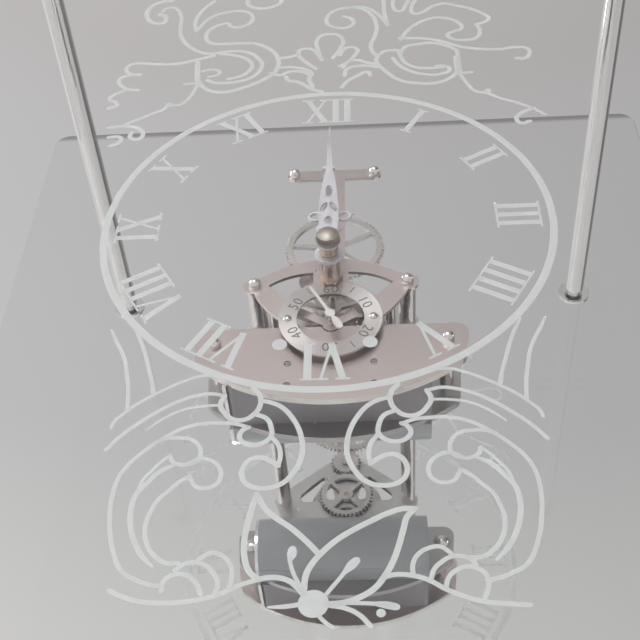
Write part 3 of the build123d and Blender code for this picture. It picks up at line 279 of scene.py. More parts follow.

# Quartz module, battery tub and cover: moulded plastic with a fine spark-eroded grain.
# The dark box sits between the lower plates, and the half-round tub behind them is blue grey, made lighter as
# painted light.
module_plastic = grained_finish("moulded_module", scale=1500.0, tint_a=(0.185, 0.172, 0.185),
                                tint_b=(0.225, 0.21, 0.225), smooth=0.32, rough=0.48, metallic=0.0,
                                strength=0.15)
dress(module_plastic, "quartz_module")
# Painted light: the blue grey of the tub and cover is raised to stand in for the light falling on their back.
lit_tub_plastic = grained_finish("moulded_tub", scale=1500.0, tint_a=(0.285, 0.30, 0.315),
                             tint_b=(0.32, 0.335, 0.35), smooth=0.3, rough=0.42, metallic=0.0,
                             strength=0.12)
dress(lit_tub_plastic, "battery_tub", "battery_cover")

# End clips and contacts: bright spring-steel sheet.
# The clips close the left end of the housing.
clip_steel = grained_finish("clip_steel", scale=200.0, tint_a=(0.78, 0.77, 0.76),
                            tint_b=(0.86, 0.85, 0.84), smooth=0.15, rough=0.28, metallic=1.0,
                            stretch=(1, 1, 12))
dress(clip_steel, "end_clips", "battery_contacts")

# Battery cell: a plain sleeve, dark grey, without any lettering.
# It lies across the lower rear plate, under the sliding cover.
cell_sleeve = grained_finish("cell_sleeve", scale=40.0, tint_a=(0.10, 0.10, 0.11),
                             tint_b=(0.14, 0.14, 0.15), smooth=0.25, rough=0.35, metallic=0.3,
                             stretch=(6, 1, 1))
dress(cell_sleeve, "battery_cell")

# Wheels and arbors: pale plated wheels with cut teeth on turned steel arbors.
# They run between the plates and behind the upper bridge.
wheel_plate = grained_finish("pale_wheels", scale=60.0, tint_a=(0.57, 0.54, 0.525),
                             tint_b=(0.62, 0.59, 0.575), smooth=0.3, rough=0.36, metallic=1.0)
dress(wheel_plate, "centre_wheel", "rear_drive_wheel", "hour_wheel", "motion_wheel", "third_wheel",
      "seconds_wheel", "idler_wheel", "upper_wheel")
arbor_steel = grained_finish("turned_arbors", scale=400.0, tint_a=(0.60, 0.58, 0.57),
                             tint_b=(0.70, 0.68, 0.67), smooth=0.12, rough=0.25, metallic=1.0,
                             stretch=(1, 10, 1))
dress(arbor_steel, "cannon_pinion", "motion_pinion", "third_arbor", "seconds_arbor", "drive_arbor",
      "wheel_studs", "motion_stud")

# Hand bush, hour tube and minute arbor: turned brass, a little tarnished.
# The tube runs inside the bush and carries the hour hand, and the arbor runs inside the tube.
brass = grained_finish("turned_brass", scale=300.0, tint_a=(0.56, 0.46, 0.38), tint_b=(0.66, 0.56, 0.47),
                       smooth=0.16, rough=0.3, metallic=1.0, stretch=(1, 12, 1))
dress(brass, "hand_bush", "hour_tube", "minute_arbor")

# Seconds dial: a flat steel ring, brushed round its own centre on a slant.
# The tens are printed on it in grey, with a short line half way between them.
ring_low, ring_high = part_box("seconds_ring")
seconds_x = (ring_low[0] + ring_high[0]) / 2
seconds_z = ring_low[2] + (ring_high[0] - ring_low[0]) / 2
ring_face = ring_low[1]
number_radius = 0.0109
number_height = 0.0029
number_depth = 0.00002
number_lift = 0.00003
number_spacing = 1.15
digit_share = 0.7
mark_lift = 0.00004
mark_flatness = 0.2
spot_middle = 0.47
spot_half = 0.53
one_millimetre = 0.001


def dial_ring_finish():
    """Brushed steel whose fine lines run round the ring's centre."""
    finish, nodes, links, shader = new_finish("circular_brushed_dial")
    shader.inputs["Metallic"].default_value = 1.0
    shader.inputs["Anisotropic"].default_value = 0.62
    shader.inputs["Anisotropic Rotation"].default_value = 0.4
    place = nodes.new("ShaderNodeTexCoord")
    centred = nodes.new("ShaderNodeMapping")
    centred.inputs["Location"].default_value = (-seconds_x, 0.0, -seconds_z)
    links.new(place.outputs["Object"], centred.inputs["Vector"])
    flat = nodes.new("ShaderNodeVectorMath")
    flat.operation = "MULTIPLY"
    flat.inputs[1].default_value = (1.0, 0.0, 1.0)
    links.new(centred.outputs["Vector"], flat.inputs[0])
    radius = nodes.new("ShaderNodeVectorMath")
    radius.operation = "LENGTH"
    links.new(flat.outputs["Vector"], radius.inputs[0])
    lines = nodes.new("ShaderNodeTexNoise")
    lines.noise_dimensions = "1D"
    lines.inputs["Scale"].default_value = 5000.0
    lines.inputs["Detail"].default_value = 3.0
    links.new(radius.outputs["Value"], lines.inputs["W"])
    tint = nodes.new("ShaderNodeMix")
    tint.data_type = "RGBA"
    tint.inputs["A"].default_value = (0.64, 0.60, 0.59, 1.0)
    tint.inputs["B"].default_value = (0.72, 0.68, 0.67, 1.0)
    links.new(lines.outputs["Fac"], tint.inputs["Factor"])
    links.new(tint.outputs["Result"], shader.inputs["Base Color"])
    rough = nodes.new("ShaderNodeMapRange")
    rough.inputs["To Min"].default_value = 0.24
    rough.inputs["To Max"].default_value = 0.4
    links.new(lines.outputs["Fac"], rough.inputs["Value"])
    links.new(rough.outputs["Result"], shader.inputs["Roughness"])
    turn = nodes.new("ShaderNodeTangent")
    turn.direction_type = "RADIAL"
    turn.axis = "Y"
    links.new(turn.outputs["Tangent"], shader.inputs["Tangent"])
    add_bump(nodes, links, shader, lines.outputs["Fac"], strength=0.15, distance=0.00002)
    return finish


dress(dial_ring_finish(), "seconds_ring")
dial_ink = grained_finish("dial_ink", scale=2500.0, tint_a=(0.14, 0.13, 0.13), tint_b=(0.17, 0.16, 0.16),
                          smooth=0.45, rough=0.6, metallic=0.0)


def clear_selection():
    """Leave nothing selected, so that the next operator acts on the new piece alone."""
    bpy.ops.object.select_all(action="DESELECT")


def join_pieces(pieces, name):
    """Join like pieces into one object with its place in its mesh."""
    clear_selection()
    for piece in pieces:
        piece.select_set(True)
    bpy.context.view_layer.objects.active = pieces[0]
    bpy.ops.object.join()
    joined = bpy.context.view_layer.objects.active
    bpy.ops.object.transform_apply(location=True, rotation=True, scale=True)
    joined.name = name
    return joined


def dial_number(text, angle, radius, height):
    """Number on the dial ring, its foot towards the centre; the angle runs clockwise from the top."""
    clear_selection()
    bpy.ops.object.text_add()
    number = bpy.context.view_layer.objects.active
    number.data.body = text
    number.data.align_x = "CENTER"
    number.data.align_y = "CENTER"
    number.data.size = height / digit_share
    number.data.extrude = number_depth
    number.data.space_character = number_spacing
    bpy.ops.object.convert(target="MESH")
    turn = Matrix.Rotation(radians(angle), 4, "Y") @ Matrix.Rotation(radians(90), 4, "X")
    across, up = radius * sin(radians(angle)), radius * cos(radians(angle))
    spot = (seconds_x + across, ring_face - number_lift, seconds_z + up)
    number.matrix_world = Matrix.Translation(spot) @ turn
    return number


number_pieces = [dial_number(text, step * 60, number_radius, number_height)
                 for step, text in enumerate(("60", "10", "20", "30", "40", "50"))]


def ink_strokes(name, strokes, origin, flatness, steps):
    """Printed lines, each knot given by (across, up, half width) in millimetres from the origin.

    A line is pressed flat: its thickness is its half width times the flatness.
    """
    curve = bpy.data.curves.new(name, "CURVE")
    curve.dimensions = "3D"
    curve.resolution_u = steps
    curve.bevel_depth = one_millimetre
    curve.bevel_resolution = 1
    curve.use_fill_caps = True
    for points, smooth, closed in strokes:
        line = curve.splines.new("BEZIER")
        line.bezier_points.add(len(points) - 1)
        for knot, (across, up, half) in zip(line.bezier_points, points):
            knot.co = (across / 1000, 0.0, up / 1000)
            knot.radius = half
            knot.handle_left_type = "AUTO" if smooth else "VECTOR"
            knot.handle_right_type = "AUTO" if smooth else "VECTOR"
        line.use_cyclic_u = closed
        if not smooth:
            line.resolution_u = 1
    piece = bpy.data.objects.new(name, curve)
    bpy.context.collection.objects.link(piece)
    clear_selection()
    piece.select_set(True)
    bpy.context.view_layer.objects.active = piece
    bpy.ops.object.convert(target="MESH")
    bpy.ops.object.mode_set(mode="EDIT")
    bpy.ops.mesh.select_all(action="SELECT")
    bpy.ops.transform.resize(value=(1.0, flatness / 2, 1.0), center_override=(0.0, 0.0, 0.0))
    bpy.ops.transform.translate(value=origin)
    bpy.ops.mesh.normals_make_consistent(inside=False)
    bpy.ops.object.mode_set(mode="OBJECT")
    bpy.ops.object.shade_smooth_by_angle(angle=radians(40))
    return piece


def ring_stroke(radius, half, count=24):
    """Closed round line."""
    points = [(radius * sin(radians(k * 360 / count)), radius * cos(radians(k * 360 / count)), half)
              for k in range(count)]
    return points, True, True


def spot_stroke(across, up, radius):
    """Round filled spot: a closed line as wide as its own radius."""
    points, smooth, closed = ring_stroke(radius * spot_middle, radius * spot_half, count=12)
    return [(x + across, y + up, half) for x, y, half in points], smooth, closed


def radial_stroke(angle, inner, outer, half):
    """Short straight line that points to the centre."""
    across, up = sin(radians(angle)), cos(radians(angle))
    return [(inner * across, inner * up, half), (outer * across, outer * up, half)], False, False


track = [radial_stroke(step * 60 + 30, inner=10.8, outer=13.4, half=0.16) for step in range(6)]
track_origin = (seconds_x, ring_face - mark_lift, seconds_z)
track_piece = ink_strokes("seconds_track", track, track_origin, mark_flatness, steps=4)
seconds_print = join_pieces([track_piece, *number_pieces], "seconds_print")
seconds_print.data.materials.clear()
seconds_print.data.materials.append(dial_ink)
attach(seconds_print, "frame")

# Hands: the minute and hour hands are pierced from pale anodised sheet, the second hand is a slim needle.
# A knurled nut of warm nickel holds the minute hand.
hand_sheet = grained_finish("pale_hands", scale=120.0, tint_a=(0.57, 0.56, 0.59),
                            tint_b=(0.62, 0.61, 0.64), smooth=0.38, rough=0.5, metallic=0.55,
                            stretch=(6, 1, 1))
dress(hand_sheet, "minute_hand", "hour_hand")
second_needle = grained_finish("second_needle", scale=120.0, tint_a=(0.66, 0.635, 0.635),
                               tint_b=(0.72, 0.695, 0.69), smooth=0.35, rough=0.45, metallic=0.4,
                               stretch=(6, 1, 1))
dress(second_needle, "second_hand")
warm_nickel = grained_finish("warm_nickel", scale=260.0, tint_a=(0.305, 0.27, 0.24),
                             tint_b=(0.35, 0.31, 0.28), smooth=0.5, rough=0.58, metallic=1.0,
                             stretch=(1, 6, 1))
dress(warm_nickel, "hand_nut")

# Front glass: a clear float pane with a finely ground edge, too faint to show in the mirror.
# Light passes it freely, so the movement behind stays bright.
glass_low, glass_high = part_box("front_glass")
edge_width = 0.0009
ground_roughness = 0.5
mirrored_width = 0.0042


def joined_value(nodes, links, operation, first, second):
    """One value from two."""
    both = nodes.new("ShaderNodeMath")
    both.operation = operation
    links.new(first, both.inputs[0])
    links.new(second, both.inputs[1])
    return both.outputs["Value"]


def border_mask(nodes, links, axes, width):
    """Mask of a band of this width along the four edges of the pane."""
    band = threshold(nodes, links, axes.outputs["Z"], "GREATER_THAN", glass_high[2] - width)
    for axis, operation, limit in (("Z", "LESS_THAN", glass_low[2] + width),
                                   ("X", "GREATER_THAN", glass_high[0] - width),
                                   ("X", "LESS_THAN", glass_low[0] + width)):
        side = threshold(nodes, links, axes.outputs[axis], operation, limit)
        band = joined_value(nodes, links, "MAXIMUM", band, side)
    return band


def clear_glass():
    """Clear pane with a ground edge. Shadow and diffuse rays pass it freely, mirrored rays at its border."""
    finish, nodes, links, shader = new_finish("clear_front_glass")
    shader.inputs["Base Color"].default_value = (0.985, 0.992, 0.99, 1.0)
    shader.inputs["Transmission Weight"].default_value = 1.0
    shader.inputs["IOR"].default_value = 1.45
    grain = add_grain(nodes, scale=14.0, tint_a=(1, 1, 1), tint_b=(1, 1, 1), smooth=0.0, rough=0.006)
    place = nodes.new("ShaderNodeTexCoord")
    axes = nodes.new("ShaderNodeSeparateXYZ")
    links.new(place.outputs["Object"], axes.inputs["Vector"])
    edge = border_mask(nodes, links, axes, edge_width)
    ground = nodes.new("ShaderNodeMath")
    ground.operation = "MULTIPLY_ADD"
    ground.inputs[1].default_value = ground_roughness
    links.new(edge, ground.inputs[0])
    links.new(grain.outputs["Roughness"], ground.inputs[2])
    links.new(ground.outputs["Value"], shader.inputs["Roughness"])
    path = nodes.new("ShaderNodeLightPath")
    free = joined_value(nodes, links, "MAXIMUM", path.outputs["Is Shadow Ray"],
                        path.outputs["Is Diffuse Ray"])
    inner_edge = joined_value(nodes, links, "MULTIPLY", path.outputs["Is Glossy Ray"], edge)
    free = joined_value(nodes, links, "MAXIMUM", free, inner_edge)
    border = border_mask(nodes, links, axes, mirrored_width)
    mirrored_border = joined_value(nodes, links, "MULTIPLY", path.outputs["Is Reflection Ray"], border)
    free = joined_value(nodes, links, "MAXIMUM", free, mirrored_border)
    open_way = nodes.new("ShaderNodeBsdfTransparent")
    blend = nodes.new("ShaderNodeMixShader")
    links.new(free, blend.inputs["Fac"])
    links.new(shader.outputs["BSDF"], blend.inputs[1])
    links.new(open_way.outputs["BSDF"], blend.inputs[2])
    links.new(blend.outputs["Shader"], nodes["Material Output"].inputs["Surface"])
    return finish


dress(clear_glass(), "front_glass")

# Dial print: white ceramic ink on the back of the front glass, with the chapter ring and Roman numerals.
# Each numeral stands on its radius, and two round spots lie under the movement's lower plate.
print_lift = 0.00008
ink_translucency = 0.45
print_flatness = 0.1
dial_z = (glass_low[2] + glass_high[2]) / 2
print_origin = (0.0, glass_high[1] + print_lift, dial_z)


def ceramic_ink():
    """White ink that lets part of the light through."""
    finish, nodes, links, shader = new_finish("white_ceramic_ink")
    grain = add_grain(nodes, scale=700.0, tint_a=(0.735, 0.752, 0.747), tint_b=(0.787, 0.804, 0.798),
                      smooth=0.5, rough=0.65)
    links.new(grain.outputs["Color"], shader.inputs["Base Color"])
    links.new(grain.outputs["Roughness"], shader.inputs["Roughness"])
    through = nodes.new("ShaderNodeBsdfTranslucent")
    links.new(grain.outputs["Color"], through.inputs["Color"])
    blend = nodes.new("ShaderNodeMixShader")
    blend.inputs["Fac"].default_value = ink_translucency
    links.new(shader.outputs["BSDF"], blend.inputs[1])
    links.new(through.outputs["BSDF"], blend.inputs[2])
    links.new(blend.outputs["Shader"], nodes["Material Output"].inputs["Surface"])
    return finish


white_ink = ceramic_ink()
numeral_low = 45.1
numeral_high = 57.1
thick_half = 0.95
thin_half = 0.42
serif_half = 0.32
serif_reach = 1.75
slant = 2.6
vee_foot = 0.2
letter_width = {"I": 3.5, "V": 8.0, "X": 8.0}


def letter_strokes(letter, left):
    """Strokes of one serifed letter, with its left side at this place."""
    width = letter_width[letter]
    middle = left + width / 2
    low, high = numeral_low + serif_half, numeral_high - serif_half
    if letter == "I":
        bars = [((middle, low), (middle, high), thick_half)]
        serifs = [(middle, low), (middle, high)]
    elif letter == "V":
        bars = [((middle - slant, high), (middle + vee_foot, low), thick_half),
                ((middle + slant, high), (middle, low), thin_half)]
        serifs = [(middle - slant, high), (middle + slant, high)]
    else:
        bars = [((middle - slant, high), (middle + slant, low), thick_half),
                ((middle + slant, high), (middle - slant, low), thin_half)]
        serifs = [(middle + side * slant, up) for up in (high, low) for side in (-1, 1)]
    lines = [[(*start, half), (*end, half)] for start, end, half in bars]
    for across, up in serifs:
        lines.append([(across - serif_reach, up, serif_half), (across + serif_reach, up, serif_half)])
    return lines


def numeral_strokes(word, angle):
    """Strokes of one numeral, turned clockwise from the top by the angle."""
    total = sum(letter_width[letter] for letter in word)
    left = -total / 2
    turned = []
    turn_cos, turn_sin = cos(radians(angle)), sin(radians(angle))
    for letter in word:
        for line in letter_strokes(letter, left):
            points = [(x * turn_cos + y * turn_sin, y * turn_cos - x * turn_sin, half) for x, y, half in line]
            turned.append((points, False, False))
        left += letter_width[letter]
    return turned


numerals = ("XII", "I", "II", "III", "IIII", "V", "VI", "VII", "VIII", "IX", "X", "XI")
ring_radius = 60.0
ring_half = 1.15
dial_strokes = [ring_stroke(ring_radius, ring_half, count=36)]
for hour, word in enumerate(numerals):
    dial_strokes.extend(numeral_strokes(word, hour * 30))
for side in (-1, 1):
    dial_strokes.append(spot_stroke(side * 10.9, up=-45.3, radius=1.95))
dial_print = ink_strokes("dial_print", dial_strokes, print_origin, print_flatness, steps=6)


def finish_print(piece):
    """White ink on the front glass."""
    piece.data.materials.clear()
    piece.data.materials.append(white_ink)
    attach(piece, "frame")


finish_print(dial_print)

# Side scrolls: lobed C-scrolls with curled ends to the left and right below the dial, in the same white ink.
# One side is drawn and the other is its mirror image; the two feet with their three lobes differ a little.
line_half = 0.58
left_shift = 0.6
end_steps = ((0.7, 0.72), (1.0, 0.12))


def round_end(end, inner):
    """Two more knots that close the end of a line in a half circle."""
    across, up, half = end
    run, rise = across - inner[0], up - inner[1]
    length = (run * run + rise * rise) ** 0.5
    return [(across + run / length * half * reach, up + rise / length * half * reach, half * share)
            for reach, share in end_steps]


def drawn(points, half=line_half, first=None, last=None):
    """Smooth line of even width with round ends, thickened where they end in a bulb."""
    widths = [half] * len(points)
    widths[0] = first or half
    widths[-1] = last or half
    knots = [(x, y, w) for (x, y), w in zip(points, widths)]
    return [*reversed(round_end(knots[0], knots[1])), *knots, *round_end(knots[-1], knots[-2])], True, False


def both_sides(lines):
    """The lines and their mirror images, which lie a little closer to the middle."""
    mirrored = [([(left_shift - x, y, w) for x, y, w in points], smooth, closed)
                for points, smooth, closed in lines]
    return [*lines, *mirrored]


scroll_lines = [
    drawn([(26.6, -54.7), (29.6, -54.7), (32.2, -55.6), (35.1, -57.0), (38.1, -58.8), (41.8, -61.3),
           (44.4, -63.4), (46.6, -65.7), (48.4, -67.9), (48.9, -69.7)], half=0.5),
    drawn([(53.3, -38.7), (51.7, -42.3), (50.0, -45.6), (48.4, -49.6), (47.4, -54.0), (46.5, -58.4),
           (46.0, -63.1), (45.8, -64.7)], half=0.55, first=0.3, last=0.65),
    drawn([(47.4, -38.8), (45.9, -41.9), (44.5, -45.3), (43.3, -49.0), (42.2, -52.8), (41.1, -56.5),
           (40.5, -59.4)], half=0.55, first=0.3, last=0.7),
    drawn([(17.0, -59.1), (15.4, -61.4), (15.3, -64.7), (16.5, -66.9), (18.5, -68.4), (21.2, -68.2),
           (23.3, -66.2), (24.4, -63.6), (23.6, -61.2)], half=0.72),
    drawn([(23.6, -61.2), (26.6, -60.4), (30.0, -60.8), (34.4, -62.5), (38.7, -65.3), (42.8, -68.7),
           (46.1, -72.0), (49.1, -76.0)]),
    drawn([(24.6, -63.9), (28.6, -64.1), (33.1, -65.1), (37.3, -67.6),
           (40.6, -70.6)], half=0.45, last=0.25),
    drawn([(16.1, -66.9), (13.6, -68.2), (12.4, -70.8), (12.3, -73.4), (13.8, -75.1), (16.2, -75.8),
           (18.7, -74.7), (19.4, -73.1), (18.6, -71.3), (17.5, -70.7)], half=0.68),
    drawn([(17.5, -70.7), (20.5, -69.6), (23.8, -69.2), (28.3, -69.3), (32.6, -70.6), (36.8, -73.4),
           (40.8, -77.1), (43.6, -80.5), (45.3, -84.3), (45.9, -89.8), (45.3, -96.1), (43.8, -102.2),
           (41.1, -107.5), (38.4, -109.3), (35.3, -110.6), (32.9, -111.0)]),
    drawn([(15.1, -62.9), (12.8, -63.5), (10.0, -65.2), (7.5, -68.6), (5.9, -72.3), (5.2, -76.5),
           (5.4, -79.6), (6.9, -83.4), (9.3, -86.4), (12.2, -87.5), (14.8, -87.4), (16.9, -86.4),
           (18.1, -84.3), (18.0, -81.9), (16.3, -79.6), (14.2, -79.3), (12.0, -80.3),
           (10.4, -81.6)], half=0.7),
    drawn([(10.4, -81.6), (10.0, -79.4), (10.5, -76.1), (12.1, -73.7)], half=0.62),
    drawn([(38.2, -74.3), (35.7, -73.3), (32.9, -73.2), (30.2, -73.7), (28.3, -75.6), (27.7, -77.8),
           (28.2, -79.5), (29.9, -80.6), (32.0, -80.7), (33.8, -79.7), (34.4, -78.0)]),
    drawn([(34.4, -78.0), (36.2, -79.7), (38.1, -82.2), (39.6, -84.4), (40.4, -86.8)], half=0.45),
    drawn([(30.3, -80.6), (27.6, -79.2), (25.0, -79.9), (23.1, -82.0), (22.8, -84.4), (23.7, -86.3),
           (26.0, -87.2), (28.2, -86.5), (29.1, -84.9), (29.6, -83.9)]),
    drawn([(29.6, -83.9), (31.5, -85.2), (33.8, -87.7), (35.9, -90.1), (37.0, -92.9), (37.7, -96.4),
           (36.9, -100.8), (35.0, -103.8), (32.2, -105.7), (29.8, -105.8)]),
    drawn([(33.1, -80.7), (36.0, -82.2), (38.8, -85.5), (40.8, -88.7), (41.3, -92.3), (40.8, -96.7),
           (39.5, -100.4), (37.6, -103.7), (35.1, -106.4)], half=0.7, first=0.4, last=0.35),
]
foot_lines = [
    drawn([(18.3, -109.5), (18.4, -106.9), (19.7, -104.6), (22.0, -103.3), (24.0, -103.1), (25.5, -104.1),
           (26.5, -105.3)]),
    drawn([(21.8, -110.5), (22.5, -108.4), (24.0, -106.8), (26.2, -105.5), (28.8, -105.6), (30.3, -106.5),
           (31.0, -107.9)]),
    drawn([(24.6, -112.6), (25.3, -110.3), (27.2, -108.5), (29.2, -107.9), (31.2, -108.4), (32.8, -110.0),
           (33.0, -112.1), (32.0, -114.9)]),
    drawn([(12.5, -110.0), (14.7, -109.4), (18.2, -109.7), (21.5, -110.9), (24.4, -112.8), (27.2, -114.2),
           (31.0, -115.6), (35.7, -116.3), (40.5, -116.7)], half=0.62),
    drawn([(-25.2, -105.0), (-22.9, -103.5), (-20.4, -104.1), (-18.5, -106.4), (-18.0, -109.2),
           (-18.4, -111.8)]),
    drawn([(-29.7, -107.4), (-27.6, -105.8), (-24.5, -105.9), (-21.9, -108.1), (-20.7, -110.9),
           (-21.2, -112.9)]),
    drawn([(-32.0, -112.1), (-31.7, -109.8), (-29.8, -108.4), (-27.1, -108.7), (-24.9, -110.7),
           (-24.0, -113.0)]),
    drawn([(-12.6, -109.9), (-16.4, -111.2), (-19.8, -112.9), (-23.1, -114.0), (-26.5, -114.6),
           (-31.7, -114.8), (-36.5, -114.3), (-40.2, -113.0), (-42.5, -111.8)], half=0.62),
]
scroll_strokes = [*both_sides(scroll_lines), *foot_lines]
scroll_print = ink_strokes("scroll_print", scroll_strokes, print_origin, print_flatness, steps=5)
finish_print(scroll_print)

# Flower: two outlined leaves, bulb-tipped stamens and a round heart at the foot of the print.
# It stands between the scrolls on the same base line.
flower_lines = [
    drawn([(19.4, -93.7), (17.3, -93.6), (14.1, -94.5), (10.4, -96.4), (6.2, -98.8), (2.7, -101.3),
           (0.1, -103.9), (-1.9, -106.5), (-3.1, -109.2), (-3.4, -112.6)], half=0.75),
    drawn([(19.4, -93.7), (17.8, -95.4), (16.7, -99.0), (15.5, -103.3), (14.2, -106.8), (12.7, -109.6),
           (10.7, -112.3), (8.3, -114.0), (5.3, -115.3), (1.0, -115.8)], half=0.75),
    drawn([(-14.0, -89.1), (-12.1, -92.8), (-9.9, -95.1), (-6.6, -97.7), (-3.4, -100.9),
           (-0.7, -104.1)], half=0.75),
    drawn([(-14.0, -89.1), (-14.7, -91.9), (-15.5, -96.2), (-16.0, -100.6), (-15.8, -104.2),
           (-14.4, -108.3), (-12.6, -109.9)], half=0.75),
    drawn([(-12.6, -109.9), (-10.7, -109.5), (-7.8, -109.8), (-5.6, -111.0), (-3.5, -113.5)], half=0.7),
    drawn([(-10.3, -116.2), (-7.0, -116.1), (-4.1, -115.7)], half=0.6, first=0.3),
    drawn([(1.5, -116.0), (4.8, -116.7), (7.5, -118.2), (9.6, -120.6)], half=0.6),
    drawn([(-0.4, -118.3), (0.8, -119.6), (2.3, -120.8)], half=0.5),
    drawn([(-6.5, -105.5), (-5.7, -108.4), (-4.4, -111.2), (-3.2, -113.4)], half=0.5),
    drawn([(4.5, -108.9), (2.8, -111.2), (1.1, -113.4)], half=0.5),
    drawn([(1.8, -115.5), (6.2, -115.6), (10.2, -115.8), (13.5, -116.2)], half=0.5, last=0.85),
    drawn([(-6.0, -103.2), (-6.1, -104.3), (-6.4, -105.6)], half=1.15, first=1.05, last=0.6),
    drawn([(6.9, -106.1), (6.0, -107.1), (4.7, -108.6)], half=1.15, first=1.05, last=0.6),
    drawn([(11.2, -115.9), (13.0, -116.2), (14.6, -116.6)], half=0.95, first=0.7, last=0.9),
    spot_stroke(11.7, -117.9, radius=1.0),
    spot_stroke(-1.5, -115.6, radius=3.3),
]
flower_print = ink_strokes("flower_print", flower_lines, print_origin, print_flatness, steps=5)
finish_print(flower_print)

# Crest: a palmette over the twelve, with curled stems, oval scrolls and leafy ends to both sides.
# The two sides differ, so each is drawn by itself, in the same white ink.
crest_half = 0.8


def leafy(points, half=crest_half):
    """Line of the crest, broader than those of the scrolls."""
    return drawn(points, half)


palmette_line = leafy([(-2.2, 79.3), (-3.6, 85.3), (-4.0, 91.4), (-2.4, 94.3), (0.2, 94.7), (2.8, 93.9),
                       (4.5, 90.1), (3.5, 85.3), (1.3, 80.2)])
crest_right = [
    leafy([(3.5, 81.8), (4.5, 84.6), (6.7, 86.3), (9.0, 84.9), (8.3, 81.4), (6.4, 78.0), (3.5, 75.4)]),
    leafy([(4.5, 74.7), (6.0, 77.5), (8.9, 78.4), (11.9, 76.8), (15.0, 75.6)]),
    leafy([(5.0, 70.0), (5.7, 73.5), (10.1, 75.0), (16.3, 73.6)]),
    leafy([(4.1, 63.5), (6.3, 67.2), (8.8, 69.3), (12.3, 71.3), (12.9, 69.5)]),
    leafy([(4.8, 105.5), (7.8, 103.1), (6.7, 98.9), (2.5, 98.6), (-0.6, 101.3), (-0.8, 105.3),
           (1.3, 109.1), (5.3, 111.0), (10.1, 110.4), (13.5, 106.8), (15.5, 99.9), (15.0, 92.8),
           (13.5, 87.0), (14.1, 82.6), (15.7, 80.1)]),
    leafy([(5.8, 110.9), (11.5, 111.0), (15.7, 106.7), (19.2, 98.9)]),
    leafy([(19.2, 98.9), (18.4, 106.7), (18.3, 116.0)]),
    leafy([(22.0, 117.0), (21.5, 110.1), (23.3, 107.2), (25.7, 111.3), (27.4, 117.0)]),
    leafy([(30.2, 117.0), (27.4, 108.6), (28.2, 105.3), (31.1, 106.1), (35.0, 109.8), (38.8, 110.9),
           (42.6, 109.1), (47.1, 106.8), (51.2, 102.8), (52.5, 100.1), (50.3, 97.6), (48.1, 96.7)]),
    leafy([(48.1, 96.7), (49.0, 92.5), (47.3, 88.4), (43.6, 87.5), (39.7, 88.5), (38.5, 91.3),
           (40.9, 93.2)]),
    leafy([(40.9, 93.2), (43.2, 94.7), (41.7, 99.2), (37.3, 101.9), (32.7, 101.3), (27.9, 97.8),
           (25.0, 93.7), (23.2, 89.5)]),
    leafy([(22.9, 90.3), (27.8, 89.9), (32.6, 88.9), (37.2, 86.7), (41.2, 84.0), (44.9, 82.5),
           (49.5, 81.5), (54.2, 81.1), (59.0, 81.9), (62.7, 81.0), (63.3, 78.1), (61.4, 75.3),
           (59.0, 75.5)]),
    leafy([(15.7, 80.9), (15.0, 77.7), (16.6, 73.4), (18.5, 70.2), (22.1, 66.0), (27.5, 63.9),
           (32.7, 63.6), (36.8, 65.4), (39.8, 69.1), (40.8, 74.7), (40.7, 81.7)]),
    leafy([(20.3, 78.6), (21.8, 75.1), (24.7, 71.4), (29.9, 68.7), (34.5, 68.4), (37.8, 70.9),
           (36.3, 72.8), (33.9, 73.0)]),
    leafy([(22.6, 79.6), (24.3, 84.8), (28.6, 86.2), (33.1, 86.5), (37.1, 84.9), (40.7, 81.7)]),
    leafy([(22.3, 82.0), (24.0, 76.0), (27.0, 72.9), (31.6, 72.0), (35.7, 72.2)]),
    leafy([(16.3, 81.3), (17.9, 82.9), (22.0, 83.2)]),
    leafy([(40.4, 77.6), (40.4, 69.0)], half=1.1),
    leafy([(41.0, 68.4), (44.4, 68.7)], half=0.65),
    leafy([(40.9, 67.3), (42.6, 62.2), (44.7, 58.3), (47.9, 57.0), (51.6, 54.1), (55.8, 51.7),
           (59.9, 48.8), (63.8, 44.9)], half=0.65),
    spot_stroke(48.4, 58.2, radius=1.3),
    leafy([(61.0, 48.2), (56.5, 45.4), (55.4, 43.0), (56.6, 40.9), (59.0, 41.7)]),
]
